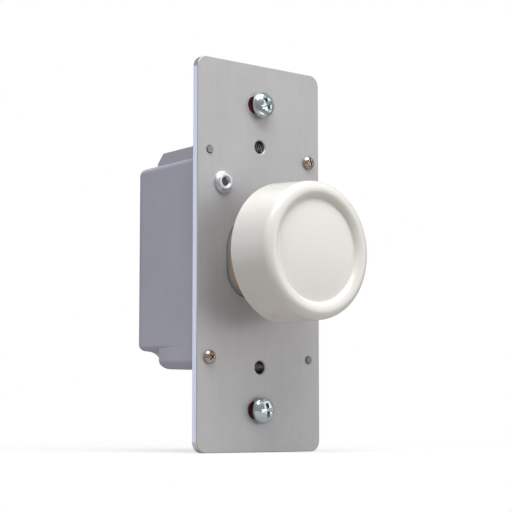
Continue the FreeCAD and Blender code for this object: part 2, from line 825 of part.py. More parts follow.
def bearing_cover():
    """The tan moulding that fills the yoke's window and carries the rotor's hub."""
    body = make_body("bearing_cover")
    flange = make_sketch(body, "bearing_flange")
    half = "flange_width / 2"
    draw_rectangle(flange, f"-{half}", half, f"-{half}", half)
    pad(body, flange, "flange_thick")
    side = SIZE["flange_width"] / 2
    round_edges(
        body,
        "flange_corners",
        "flange_corner",
        lambda mid, ends, along: near(abs(mid.x), side) and near(abs(mid.z), side),
    )
    boss = make_sketch(body, "bearing_boss")
    half = "(window_width / 2 - bearing_gap)"
    draw_rectangle(boss, f"-{half}", half, f"-{half}", half)
    pad(body, boss, f"-{BOSS_FRONT}", into_wall=False)
    edge = SIZE["window_width"] / 2 - SIZE["bearing_gap"]
    round_four(body, "boss", edge, "window_top_round - bearing_gap", "window_low_round - bearing_gap")
    collar = make_sketch(body, "bearing_collar", depth=BOSS_FRONT)
    draw_circle(collar, "0", "0", "collar_radius")
    pad(body, collar, "collar_length", into_wall=False)
    bore = make_sketch(body, "bearing_bore")
    draw_circle(bore, "0", "0", "rotor_hub + running_fit")
    pocket(body, bore)


def rotor():
    """What the shaft turns: a hub in the bearing, and a disc with a stop lug that carries the wiper."""
    body = make_body("rotor")
    profile = make_sketch(body, "rotor_profile", "XY_Plane")
    draw_polygon(
        profile,
        [
            ("0", ROTOR_FRONT),
            ("rotor_hub", ROTOR_FRONT),
            ("rotor_hub", ROTOR_DISC),
            ("rotor_radius", ROTOR_DISC),
            ("rotor_radius", ROTOR_BACK),
            ("rotor_hub", ROTOR_BACK),
            ("rotor_hub", TAIL_BACK),
            ("0", TAIL_BACK),
        ],
    )
    revolve(body, profile)
    lug = make_sketch(body, "rotor_lug", depth=ROTOR_DISC)
    draw_rectangle(lug, "-lug_width / 2", "lug_width / 2", "rotor_hub", "lug_reach")
    pad(body, lug, "rotor_thick")
    bore = make_sketch(body, "rotor_bore")
    draw_flatted_circle(bore, "shaft_radius + running_fit", "shaft_flat + running_fit")
    pocket(body, bore)


def wiper():
    """A sprung ring on the back of the rotor, with one arm that reaches the track."""
    ring = cut(
        "wiper_ring",
        make_rod("wiper_disc", "wiper_radius", ROTOR_BACK, f"({ROTOR_BACK} + wiper_thick)"),
        make_rod("wiper_bore", "rotor_hub + seat_play", ROTOR_BACK, f"({ROTOR_BACK} + wiper_thick)"),
    )
    side = "wiper_width / 2"
    foot_back = f"({TRACK_FRONT} - clear_gap)"
    outer = "wiper_radius - wiper_thick"
    riser = make_block(
        "wiper_riser", f"-{side}", side, ROTOR_BACK, foot_back, "wiper_radius - 2 * wiper_thick", outer
    )
    foot_front = f"{foot_back} - wiper_thick"
    foot = make_block(
        "wiper_foot", f"-{side}", side, foot_front, foot_back, "wiper_radius - wiper_width", outer
    )
    node("wiper", fuse("wiper_shape", ring, riser, foot))


def track_case():
    """The cup that holds the track, with the post that stops the rotor's lug at each end of its turn."""
    inner = "(case_radius - case_wall)"
    rest = "(180 - half_turn)"
    half = f"((stop_inner * sin({rest}) - lug_width / 2 - clear_gap) / cos({rest}))"
    cup = cut(
        "case_cup",
        make_rod("case_outside", "case_radius", "flange_thick", CASE_BACK),
        make_rod("case_inside", inner, "flange_thick", TRACK_BACK),
    )
    stop = make_block(
        "case_stop",
        f"-{half}",
        half,
        "flange_thick",
        f"{TRACK_FRONT} - clear_gap",
        f"-{inner} - case_wall / 3",
        "-stop_inner",
    )
    holes = [make_rod("case_hole", "case_bore", TRACK_BACK, CASE_BACK)]
    for place in PINS:
        x = f"{place} * pin_pitch"
        radius = "pin_radius + seat_play"
        holes.append(make_rod(f"case_pin_hole_{place + 1}", radius, TRACK_BACK, CASE_BACK, x, "-pin_drop"))
    node("track_case", cut("case_shape", fuse("case_walls", cup, stop), *holes))


def resistor_board():
    """The disc with the resistor's track."""
    disc = make_rod("track_disc", "case_radius - case_wall - track_play", TRACK_FRONT, TRACK_BACK)
    holes = [make_rod("track_hole", "track_bore", TRACK_FRONT, TRACK_BACK)]
    for place in PINS:
        x = f"{place} * pin_pitch"
        radius = "pin_radius + seat_play"
        holes.append(
            make_rod(f"track_pin_hole_{place + 1}", radius, TRACK_FRONT, TRACK_BACK, x, "-pin_drop")
        )
    node("resistor_board", cut("track_shape", disc, *holes))


def track_pins():
    """Three pins that join the track to the circuit board."""
    end = f"({BOARD_BACK} + pin_through)"
    pins = []
    for place in PINS:
        x = f"{place} * pin_pitch"
        pins.append(make_rod(f"track_pin_{place + 1}", "pin_radius", TRACK_FRONT, end, x, "-pin_drop"))
    group("track_pins", *pins)


def switch_shell():
    """The switch's cover, with the plunger's hole, and its base, with the guide and the blades' slots."""
    wide = "switch_width / 2"
    high = "switch_height / 2"
    cover = make_block("cover_plate", f"-{wide}", wide, CASE_BACK, COVER_BACK, f"-{high}", high)
    hole = make_rod("cover_bore", "plunger_radius + running_fit", CASE_BACK, COVER_BACK)
    node("switch_cover", cut("cover_shape", cover, hole))
    outside = make_block("base_outside", f"-{wide}", wide, COVER_BACK, BOARD_FRONT, f"-{high}", high)
    inside = make_block(
        "base_inside",
        f"-{wide} + switch_wall",
        f"{wide} - switch_wall",
        COVER_BACK,
        SWITCH_FLOOR,
        f"-{high} + switch_wall",
        f"{high} - switch_wall",
    )
    guide = make_rod("base_guide", "stem_radius + running_fit", SWITCH_FLOOR, BOARD_FRONT)
    slots = [blade_slot(f"base_slot_{side}", side, SWITCH_FLOOR, BOARD_FRONT) for side in (1, -1)]
    node("switch_base", cut("base_shape", outside, inside, guide, *slots))


def blade_sides(side, margin="0"):
    """The near and far X of a contact's blade, on the right or the left."""
    outer = f"(switch_width / 2 - switch_wall - clear_gap / 2 + {margin})"
    inner = f"(switch_width / 2 - switch_wall - clear_gap / 2 - contact_thick - {margin})"
    return (inner, outer) if side > 0 else (f"-{outer}", f"-{inner}")


def blade_slot(name, side, front, back):
    left, right = blade_sides(side, "seat_play")
    reach = "(blade_width / 2 + seat_play)"
    return make_block(name, left, right, front, back, f"-{reach}", reach)


def fixed_contacts():
    """Two bent strips, each with a contact button, whose blades go through to the circuit board."""
    contacts = []
    tip = f"({FIXED_FRONT} + contact_thick)"
    for side in (1, -1):
        left, right = blade_sides(side)
        wide = "blade_width / 2"
        blade = make_block(
            f"blade_{side}", left, right, tip, f"{BOARD_BACK} + pin_through", f"-{wide}", wide
        )
        inner = "button_spacing / 2 - button_radius"
        ends = (inner, right) if side > 0 else (left, f"-({inner})")
        shelf = make_block(f"shelf_{side}", *ends, tip, f"{tip} + contact_thick", f"-{wide}", wide)
        button = make_rod(
            f"fixed_button_{side}", "button_radius", FIXED_FRONT, tip, f"{side} * button_spacing / 2"
        )
        contacts.append(fuse(f"fixed_contact_{side}", blade, shelf, button))
    group("fixed_contacts", *contacts)


def plunger():
    """The stepped rod that the shaft presses on."""
    body = make_body("switch_plunger")
    profile = make_sketch(body, "plunger_profile", "XY_Plane")
    stem_end = f"({SWITCH_FLOOR} + stem_overlap)"
    draw_polygon(
        profile,
        [
            ("0", PLUNGER_FRONT),
            ("plunger_radius", PLUNGER_FRONT),
            ("plunger_radius", FLANGE_FRONT),
            ("plunger_flange", FLANGE_FRONT),
            ("plunger_flange", FLANGE_BACK),
            ("stem_radius", FLANGE_BACK),
            ("stem_radius", stem_end),
            ("0", stem_end),
        ],
    )
    revolve(body, profile)


def moving_contact():
    """The bridge that the plunger carries, with a contact button at each end."""
    long = "bridge_length / 2"
    wide = "bridge_width / 2"
    bar = make_block("bridge_bar", f"-{long}", long, FLANGE_BACK, BRIDGE_BACK, f"-{wide}", wide)
    bore = make_rod("bridge_bore", "stem_radius + seat_play", FLANGE_BACK, BRIDGE_BACK)
    buttons = []
    for side in (1, -1):
        x = f"{side} * button_spacing / 2"
        buttons.append(make_rod(f"moving_button_{side}", "button_radius", BRIDGE_BACK, BUTTON_BACK, x))
    node("moving_contact", fuse("bridge", cut("bridge_plate", bar, bore), *buttons))


def plunger_spring():
    """The coil that pushes the plunger, the shaft and the knob back out, as tilted half rings end to end."""
    wire = "(spring_wire / 2)"
    start = f"({BRIDGE_BACK} + clear_gap + {wire})"
    rise = f"(({SWITCH_FLOOR} - {BRIDGE_BACK} - clear_gap - 2 * {wire}) / spring_turns / 2)"
    tilt = f"atan({rise} / 2 / spring_radius)"
    halves = []
    for i in range(2 * SIZE["spring_turns"]):
        half = doc.addObject("Part::Torus", f"spring_half_{i}")
        side = -1 if i % 2 else 1
        bind(half, "Radius1", f"spring_radius / cos({tilt})")
        bind(half, "Radius2", wire)
        half.Angle3 = 180
        middle = f"vector(0; {start} + {rise} * ({i} + 0.5); 0)"
        bind(half, "Placement", f"placement({middle}; rotation(-{side} * {tilt}; 0; -{side} * 90))")
        halves.append(half)
    node("plunger_spring", fuse("spring", *halves))


def circuit_board():
    """The board that stands on the housing's posts."""
    body = make_body("circuit_board")
    outline = make_sketch(body, "board_outline", depth=BOARD_FRONT)
    half_width = f"{BOARD_WIDTH} / 2"
    half_height = f"{BOARD_HEIGHT} / 2"
    draw_rectangle(outline, f"-{half_width}", half_width, f"-{half_height}", half_height)
    pad(body, outline, "board_thick")
    round_edges(body, "board_corners", "board_corner", lambda mid, ends, along: abs(along.y) > 0.9)
    holes = make_sketch(body, "board_holes", depth=BOARD_FRONT)
    draw_circle(holes, "0", "0", "stem_radius + board_hole_play")
    for place in PINS:
        draw_circle(holes, f"{place} * pin_pitch", "-pin_drop", "pin_radius + seat_play")
        draw_circle(holes, LEG_X, leg_height(place), "leg_width / 2 + board_hole_play")
    for side in (1, -1):
        reach = "(blade_width / 2 + board_hole_play)"
        draw_rectangle(holes, *blade_sides(side, "board_hole_play"), f"-{reach}", reach)
    for x, z in axial_holes():
        draw_circle(holes, x, z, "axial_lead + seat_play")
    pocket(body, holes)


PACKAGE_LEFT = "(-rivet_left - tab_end + tab_length)"
PACKAGE_RIGHT = f"({PACKAGE_LEFT} + package_length)"
PACKAGE_LOW = f"({RIVET_HEIGHT} - {PACKAGE_WIDTH} / 2)"
PACKAGE_HIGH = f"({RIVET_HEIGHT} + {PACKAGE_WIDTH} / 2)"
LEG_X = f"({PACKAGE_RIGHT} + leg_reach - leg_thick / 2)"


def leg_height(place):
    return f"({RIVET_HEIGHT} + {place} * {LEG_PITCH})"


def triac():
    """The power device: a moulded package on a metal tab, with three bent legs."""
    low, high = PACKAGE_LOW, PACKAGE_HIGH
    back = "(pad_thick + tab_thick)"
    tab = make_block("triac_tab", "-rivet_left - tab_end", PACKAGE_LEFT, "pad_thick", back, low, high)
    package = make_block(
        "triac_package", PACKAGE_LEFT, PACKAGE_RIGHT, "pad_thick", "pad_thick + package_thick", low, high
    )
    pieces = [tab, package]
    front = "(pad_thick + leg_height - leg_thick)"
    bend = f"{PACKAGE_RIGHT} + leg_reach"
    for place in PINS:
        sides = f"{leg_height(place)} - leg_width / 2", f"{leg_height(place)} + leg_width / 2"
        run = make_block(
            f"leg_run_{place + 1}", PACKAGE_RIGHT, bend, front, f"{front} + leg_thick", *sides
        )
        drop = make_block(
            f"leg_drop_{place + 1}", f"{bend} - leg_thick", bend, front, f"{BOARD_BACK} + pin_through", *sides
        )
        pieces += [run, drop]
    hole = rivet_hole("triac_hole", "pad_thick", back)
    node("triac", cut("triac_shape", fuse("triac_body", *pieces), hole))


def rivet_hole(name, front, back):
    return make_rod(name, "rivet_shank + hole_play", front, back, "-rivet_left", RIVET_HEIGHT)


def thermal_pad():
    """The thin sheet between the power device and the yoke."""
    left = "-rivet_left - tab_end"
    blank = make_block("pad_sheet", left, PACKAGE_RIGHT, "0", "pad_thick", PACKAGE_LOW, PACKAGE_HIGH)
    node("thermal_pad", cut("pad_shape", blank, rivet_hole("pad_hole", "0", "pad_thick")))


def triac_rivet():
    """A hollow rivet: a domed head on the yoke, and a flare behind the device's tab."""
    body = make_body("triac_rivet")
    profile = make_sketch(body, "rivet_profile", "XY_Plane")
    grip = "(pad_thick + tab_thick)"
    draw_polygon(
        profile,
        [
            ("rivet_bore", f"{YOKE_FRONT} - rivet_dome"),
            ("rivet_head", f"{YOKE_FRONT} - rivet_dome"),
            ("rivet_head", YOKE_FRONT),
            ("rivet_shank", YOKE_FRONT),
            ("rivet_shank", grip),
            ("rivet_flare", grip),
            ("rivet_flare", f"{grip} + rivet_tail"),
            ("rivet_bore", f"{grip} + rivet_tail"),
        ],
    )
    revolve(body, profile)
    front = -SIZE["yoke_thick"] - SIZE["rivet_dome"]
    head = SIZE["rivet_head"]
    round_edges(
        body,
        "rivet_head_edge",
        "rivet_dome - rivet_dome / 8",
        lambda mid, ends, along: near(ends[0].y, front) and near(math.hypot(ends[0].x, ends[0].z), head),
    )
    bind(body, "Placement.Base.x", "-rivet_left")
    bind(body, "Placement.Base.z", RIVET_HEIGHT)


def choke():
    """The ring core and its winding, which leaves a gap for its two ends."""
    low, x, z = BOARD_FRONT, "-choke_left", f"-{CHOKE_DROP}"
    lift = "(winding_build + seat_play)"
    back = f"({low} - {lift})"
    front = f"({back} - core_height)"
    face = f"({front} - {lift})"
    core = cut(
        "core_ring",
        make_rod("core_outside", CORE_OUTER, front, back, x, z),
        make_rod("core_inside", CORE_INNER, front, back, x, z),
    )
    node("choke_core", core)
    reach = f"({CORE_OUTER} + {lift})"
    room = (f"({front} - seat_play)", f"({back} + seat_play)", x, z)
    ring = cut(
        "winding_ring",
        make_rod("winding_outside", reach, face, low, x, z),
        make_rod("winding_inside", f"{CORE_INNER} - {lift}", face, low, x, z),
        make_rod("core_room", f"{CORE_OUTER} + seat_play", *room),
    )
    heart = cut(
        "winding_heart",
        make_rod("heart_outside", f"{CORE_INNER} - seat_play", face, low, x, z),
        make_rod("heart_inside", f"{CORE_INNER} - {lift}", face, low, x, z),
    )
    gap = doc.addObject("Part::Prism", "winding_gap_tool")
    gap.Polygon = 3
    gap.Placement = FreeCAD.Placement(FreeCAD.Vector(), FreeCAD.Rotation(FreeCAD.Vector(1, 0, 0), -90))
    bind(gap, "Circumradius", f"{reach} * 2")
    bind(gap, "Height", f"core_height + 2 * {lift}")
    bind(gap, "Placement.Base.x", f"{x} - {reach} * 2")
    bind(gap, "Placement.Base.y", face)
    bind(gap, "Placement.Base.z", z)
    node("choke_winding", cut("winding_shape", fuse("winding_whole", ring, heart), gap))


def capacitors():
    film = make_block(
        "film_box",
        "film_right - film_length",
        "film_right",
        f"{BOARD_FRONT} - film_height",
        BOARD_FRONT,
        "film_low",
        "film_low + film_width",
    )
    node("filter_capacitor", film)
    timer = make_block(
        "timer_box",
        "timer_left",
        "timer_left + timer_length",
        f"{BOARD_FRONT} - timer_height",
        BOARD_FRONT,
        TIMER_LOW,
        f"{TIMER_LOW} + timer_width",
    )
    node("timing_capacitor", timer)


# Axial pieces: name, radius, length and height on the board
AXIAL = (
    ("resistor_one", "resistor_radius", "resistor_length", RESISTOR_LOW),
    ("resistor_two", "resistor_radius", "resistor_length", RESISTOR_HIGH),
    ("diac", "diac_radius", "diac_length", "diac_low"),
)


def axial_ends(length):
    """Where the two legs of an axial piece go through the board."""
    return "(axial_left - axial_span)", f"(axial_left + {length} + axial_span)"


def axial_holes():
    return [(x, z) for name, radius, length, z in AXIAL for x in axial_ends(length)]


def axial_piece(name, radius, length, z):
    """A small body along X, with two legs bent down through the board."""
    depth = f"({BOARD_FRONT} - axial_rise - {radius})"
    solid = doc.addObject("Part::Cylinder", f"{name}_barrel")
    wire = doc.addObject("Part::Cylinder", f"{name}_wire")
    left, right = axial_ends(length)
    spans = ((solid, radius, "axial_left", length), (wire, "axial_lead", left, f"{right} - {left}"))
    for piece, thick, start, span in spans:
        piece.Placement = FreeCAD.Placement(FreeCAD.Vector(), FreeCAD.Rotation(FreeCAD.Vector(0, 1, 0), 90))
        bind(piece, "Radius", thick)
        bind(piece, "Height", span)
        bind(piece, "Placement.Base.x", start)
        bind(piece, "Placement.Base.y", depth)
        bind(piece, "Placement.Base.z", z)
    legs = [
        make_rod(f"{name}_leg_{i}", "axial_lead", depth, f"({BOARD_BACK} + pin_through)", x, z)
        for i, x in enumerate((left, right))
    ]
    return fuse(f"{name}_shape", solid, wire, *legs)


def axial_pieces():
    made = [axial_piece(*row) for row in AXIAL]
    group("resistors", *made[:2])
    node("diac", made[2])


def make_screw(name, x, z, head, shank, recess):
    """A pan-head screw along Y.

    The head is (radius, height, round, underside), the shank a list of (radius, end) and the cross
    recess (length, width, depth).
    """
    head_radius, head_height, head_round, under = head
    body = doc.addObject("PartDesign::Body", name)
    profile = make_sketch(body, f"{name}_profile", "XY_Plane")
    top = f"({under} - {head_height})"
    corners = [("0", top), (head_radius, top), (head_radius, under)]
    start = under
    for radius, end in shank:
        corners += [(radius, start), (radius, end)]
        start = end
    draw_polygon(profile, corners + [("0", start)])
    revolve(body, profile)
    doc.recompute()
    front = body.Shape.BoundBox.YMin
    round_edges(body, f"{name}_round", head_round, lambda mid, ends, along: near(ends[0].y, front))
    length, width, depth = recess
    for number, (across, up) in enumerate(((length, width), (width, length))):
        cross = make_sketch(body, f"{name}_recess_{number}", depth=top)
        draw_rectangle(cross, f"-{across} / 2", f"{across} / 2", f"-{up} / 2", f"{up} / 2")
        pocket(body, cross, depth)
    bind(body, "Placement.Base.x", x)
    bind(body, "Placement.Base.z", z)
    return body


def mounting_screws():
    """The two wall-box screws, loose in the yoke's slots, each with a neck that its retainer sits on."""
    under = f"({YOKE_FRONT} - screw_stand)"
    head = ("screw_head", "screw_head_height", "screw_head_round", under)
    shank = [("screw_neck", "(retainer_thick + neck_past)"), ("screw_radius", f"({under} + screw_length)")]
    recess = ("screw_cross", "screw_slot", "screw_cross_depth")
    screws = [
        make_screw(f"mounting_screw_{i}", "0", f"{up} * box_spacing / 2", head, shank, recess)
        for i, up in enumerate((1, -1))
    ]
    group("mounting_screws", *screws)


def screw_retainers():
    """The fibre washers behind the yoke that keep the wall-box screws from falling out."""
    washers = []
    for i, up in enumerate((1, -1)):
        z = f"{up} * box_spacing / 2"
        disc = make_rod(f"retainer_disc_{i}", "retainer_radius", "0", "retainer_thick", "0", z)
        hole = make_rod(f"retainer_hole_{i}", "screw_neck + seat_play", "0", "retainer_thick", "0", z)
        washers.append(cut(f"retainer_{i}", disc, hole))
    group("screw_retainers", *washers)


def housing_screws():
    """The two small screws that hold the housing to the yoke."""
    head = ("small_head", "small_head_height", "small_head_round", YOKE_FRONT)
    shank = [("small_screw", f"({YOKE_FRONT} + small_length)")]
    recess = ("small_cross", "small_cross_width", "small_cross_depth")
    screws = [
        make_screw(f"housing_screw_{i}", *at_fixing(corner), head, shank, recess)
        for i, corner in enumerate(SCREW_CORNERS)
    ]
    group("housing_screws", *screws)


def write_parts():
    """Checks every object, then writes one file for each sub-part."""
    doc.recompute()
    for thing in doc.Objects:
        if "Invalid" in thing.State or "Error" in thing.State:
            raise RuntimeError(f"{thing.Name} failed: {thing.State}")
    for thing in nodes:
        if thing.Shape.isNull() or not thing.Shape.isValid() or not thing.Shape.Solids:
            raise RuntimeError(f"{thing.Label} has no sound shape")
    os.makedirs("parts", exist_ok=True)
    for thing in nodes:
        thing.Shape.exportStep(f"parts/{thing.Label}.step")
        print(thing.Label, len(thing.Shape.Solids), "solids", round(thing.Shape.Volume, 1), "mm3")


yoke_plate()
housing()
knob()
knob_clip()
shaft()
bearing_cover()
rotor()
wiper()
track_case()
resistor_board()
track_pins()
switch_shell()
fixed_contacts()
plunger()
moving_contact()
plunger_spring()
circuit_board()
triac()
thermal_pad()
triac_rivet()
choke()
capacitors()
axial_pieces()
mounting_screws()
screw_retainers()
housing_screws()
write_parts()
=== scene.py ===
"""Looks for a one-gang rotary dimmer switch: finishes, turned screws, threads and a studio."""

import json
import math

import bmesh
import bpy
from mathutils import Matrix, Vector


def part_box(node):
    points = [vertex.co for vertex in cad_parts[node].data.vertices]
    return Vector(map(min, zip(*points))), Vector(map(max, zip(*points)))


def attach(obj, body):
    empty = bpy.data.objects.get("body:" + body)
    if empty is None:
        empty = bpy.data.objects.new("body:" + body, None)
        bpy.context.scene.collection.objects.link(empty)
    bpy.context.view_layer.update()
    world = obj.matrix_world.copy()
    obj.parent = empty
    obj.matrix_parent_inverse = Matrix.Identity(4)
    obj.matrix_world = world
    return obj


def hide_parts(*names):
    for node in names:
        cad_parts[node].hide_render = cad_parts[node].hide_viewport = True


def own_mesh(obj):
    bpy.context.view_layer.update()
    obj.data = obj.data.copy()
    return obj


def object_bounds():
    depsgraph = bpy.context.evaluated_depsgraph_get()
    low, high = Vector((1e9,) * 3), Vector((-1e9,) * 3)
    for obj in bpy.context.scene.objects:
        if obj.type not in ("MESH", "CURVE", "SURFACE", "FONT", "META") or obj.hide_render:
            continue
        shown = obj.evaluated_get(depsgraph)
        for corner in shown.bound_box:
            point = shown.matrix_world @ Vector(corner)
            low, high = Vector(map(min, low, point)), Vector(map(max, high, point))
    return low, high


bl_info = {
    "name": "Rotary dimmer switch",
    "version": (1, 0, 0),
    "blender": (4, 5, 0),
    "location": "3D View > Sidebar > Dimmer",
    "description": "Dresses the packed dimmer switch with its finishes, screws and studio",
    "category": "Object",
}

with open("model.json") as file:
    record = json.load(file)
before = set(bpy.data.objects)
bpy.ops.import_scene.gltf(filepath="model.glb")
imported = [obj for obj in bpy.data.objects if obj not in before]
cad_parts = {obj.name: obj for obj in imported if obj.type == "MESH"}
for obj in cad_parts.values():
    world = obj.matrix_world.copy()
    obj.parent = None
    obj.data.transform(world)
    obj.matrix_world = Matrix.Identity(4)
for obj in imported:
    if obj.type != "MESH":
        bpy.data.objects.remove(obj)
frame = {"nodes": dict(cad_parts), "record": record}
CAD_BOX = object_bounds()
MM = 0.001
FIXED = "fixed_parts"
SAME = 1e-6  # metres: corners of a CAD mesh this close are at one place
LEVEL = 1e-5  # metres: corners this close along an axis lie on one flat face


def linear(code):
    """Turns an sRGB hex colour such as #AABBCC into linear RGBA."""
    parts = [int(code[i : i + 2], 16) / 255 for i in (1, 3, 5)]
    return [c / 12.92 if c <= 0.04045 else ((c + 0.055) / 1.055) ** 2.4 for c in parts] + [1.0]


def screw_shape(node, side):
    """The head, neck and shank of the screw that stands on one side of z = 0, as the node has them."""
    points = [v.co.copy() for v in frame["nodes"][node].data.vertices if v.co.z * side > 0]
    low = Vector([min(p[i] for p in points) for i in range(3)])
    high = Vector([max(p[i] for p in points) for i in range(3)])
    centre = ((low.x + high.x) / 2, (low.z + high.z) / 2)
    out = [(math.hypot(p.x - centre[0], p.z - centre[1]), p.y) for p in points]
    head = max(radius for radius, y in out)
    rim = 0.95 * head
    under = max(y for radius, y in out if radius > rim)
    shank = max(radius for radius, y in out if y > under + LEVEL)
    start = min(y for radius, y in out if y > under - SAME and abs(radius - shank) < SAME)
    necks = [radius for radius, y in out if abs(y - under) < LEVEL and radius < shank - LEVEL]
    neck = max(necks, default=shank)
    return {"centre": centre, "top": low.y, "head": head, "under": under}, {
        "radius": shank, "start": start, "neck": neck, "end": high.y
    }


# Sizes and colours that a user would change
def length(name, description, default):
    """A length in metres, of up to a metre."""
    return bpy.props.FloatProperty(
        name=name, description=description, default=default, min=0, max=1, precision=5, unit="LENGTH"
    )


def colour(name, description, code):
    """A colour that starts as an sRGB hex colour."""
    return bpy.props.FloatVectorProperty(
        name=name, description=description, default=linear(code), size=4, min=0, max=1, subtype="COLOR"
    )


class DimmerSizes(bpy.types.PropertyGroup):
    box_pitch: length("Box screw pitch", "Rise of one turn of the wall-box screw's thread", 0.794 * MM)
    small_pitch: length("Small screw pitch", "Rise of one turn of the housing screw's thread", 0.60 * MM)
    thread_depth: length("Thread depth", "How deep the threads are cut", 0.36 * MM)
    recess_width: length("Recess width", "Width of a wall-box screw's cross slot at its mouth", 1.05 * MM)
    wire: length("Choke wire", "Thickness of the wire on the choke", 0.9 * MM)
    tab_length: length("Tab length", "How far the power device's tab stands out of its package", 6.3 * MM)
    package_length: length("Package length", "Length of the power device's moulded package", 9.0 * MM)
    plunger_travel: length("Plunger travel", "How far a push shortens the return spring", 2.0 * MM)
    spring_turns: bpy.props.IntProperty(
        name="Spring turns", description="Turns of wire in the return spring", default=7, min=4, max=12
    )
    wire_gap: bpy.props.FloatProperty(
        name="Choke gap",
        description="Angle that the choke's winding leaves open",
        default=math.radians(62),
        min=0,
        max=math.pi,
        subtype="ANGLE",
    )
    head_edge: length("Head edge", "Width of the broken edge under a screw's head", 0.08 * MM)
    cover_pitch: length("Cover screw pitch", "Rise of one turn of the cover-plate holes' thread", 0.794 * MM)
    cover_thread: length("Cover thread depth", "How deep the cover-plate holes' thread is cut", 0.22 * MM)
    hole_lead_in: length("Hole lead-in", "Depth at which the cover-plate holes' thread starts", 0.35 * MM)
    knob_dome: length("Knob dome", "How far the middle of the knob's face stands above its edge", 1.25 * MM)
    knob_bead: length("Knob bead", "Radius of the rolled bead round the knob's face", 2.4 * MM)
    knob_lip: length("Knob lip", "How far the face's edge is in front of the bead's middle", 0.9 * MM)
    rivet_crest: length("Rivet crest", "Radius of the highest ring round the rivet's hollow", 1.7 * MM)
    rivet_hollow: length("Rivet hollow", "Depth of the hollow, down to its mandrel's broken end", 4.6 * MM)
    # The lip is a dark ring of painted shade round the bearing's face.
    lip_width: length("Lip width", "How far the grey lip reaches over the bearing's face", 0.5 * MM)
    lip_wall: length("Lip wall", "Thickness of the grey lip round the bearing's side", 0.35 * MM)
    lip_rise: length("Lip rise", "How far the grey lip stands in front of the bearing", 0.15 * MM)


class DimmerColours(bpy.types.PropertyGroup):
    yoke: colour("Yoke", "Brushed aluminium sheet", "#BBBABB")
    housing: colour("Housing", "Grey moulded box", "#BABBC7")
    # The pegs' tips are drawn in this darker, more neutral grey.
    peg_tip: colour("Peg tips", "Melted tips of the housing's pegs", "#8E8D8B")
    knob: colour("Knob", "Ivory moulding", "#F0EEE7")
    bearing: colour("Bearing", "Tan moulding in the yoke's window", "#B5A18D")
    # Painted shade: the lip's dark grey stands for the shade in the gap round the bearing.
    lip: colour("Lip", "Grey lip round the bearing", "#8C9096")
    zinc: colour("Zinc", "Bright plating on the wall-box screws", "#DFEBEE")
    nickel: colour("Nickel", "Plating on the small screws", "#CDBFB0")
    fibre: colour("Fibre", "Red washers that keep the wall-box screws", "#7E2E26")
    rivet: colour("Rivet", "Cold-headed aluminium", "#ECEEF2")
    # Painted shade: the tapped thread's near-black stands for the shade deep in the cover-plate holes.
    thread: colour("Tapped thread", "Aluminium in the cover-plate holes, dulled by cutting oil", "#474543")
    copper: colour("Copper", "Enamelled wire", "#8C4418")
    board: colour("Board", "Paper laminate", "#B48A45")


def sizes():
    """The sizes in the sidebar."""
    return bpy.context.scene.dimmer_sizes


def colours():
    """The colours in the sidebar."""
    return bpy.context.scene.dimmer_colours


# Materials
def add_node(tree, kind, settings=None, **links):
    """Adds a shader node. Links name its inputs, and give a socket to join or a plain value."""
    node = tree.nodes.new(f"ShaderNode{kind}")
    for name, value in (settings or {}).items():
        setattr(node, name, value)
    for name, value in links.items():
        socket = node.inputs[int(name[1:]) if name[0] == "_" else name]
        if isinstance(value, bpy.types.NodeSocket):
            tree.links.new(value, socket)
        else:
            socket.default_value = value
    return node


def new_material(name, **surface):
    """A material with one principled shader, whose uniform values are set on its own sockets."""
    material = bpy.data.materials.new(name)
    material.use_nodes = True
    tree = material.node_tree
    shader = tree.nodes["Principled BSDF"]
    for socket, value in surface.items():
        shader.inputs[socket.replace("_", " ")].default_value = value
    return material, tree, shader


def grain(tree, size, stretch=(1, 1, 1), detail=3.0, roughness=0.55):
    """Noise whose features are about size metres across, drawn out along an axis by stretch."""
    place = add_node(tree, "TexCoord").outputs["Object"]
    scaled = add_node(tree, "Mapping", Vector=place, Scale=[1 / s for s in stretch])
    noise = add_node(
        tree, "TexNoise", Vector=scaled.outputs[0], Scale=1 / size, Detail=detail, Roughness=roughness
    )
    return noise.outputs["Fac"]


def shade_between(tree, amount, dark, light, low=0.3, high=0.7):
    """A colour that goes from dark to light as amount goes from low to high."""
    ramp = add_node(tree, "ValToRGB", Fac=amount)
    for stop, place, tint in zip(ramp.color_ramp.elements, (low, high), (dark, light)):
        stop.position = place
        stop.color = tint
    return ramp.outputs["Color"]


def value_between(tree, amount, low, high):
    """A value that goes from low to high as amount goes from 0 to 1."""
    return add_node(tree, "MapRange", Value=amount, _3=low, _4=high).outputs["Result"]


def scaled_colour(tint, factor):
    """A darker or lighter colour of the same hue."""
    return [min(1.0, c * factor) for c in tint[:3]] + [1.0]


def bump(tree, shader, amount, depth, strength):
    """Relief with a real depth in metres, weakened by strength."""
    relief = add_node(tree, "Bump", Height=amount, Distance=depth, Strength=strength)
    tree.links.new(relief.outputs["Normal"], shader.inputs["Normal"])


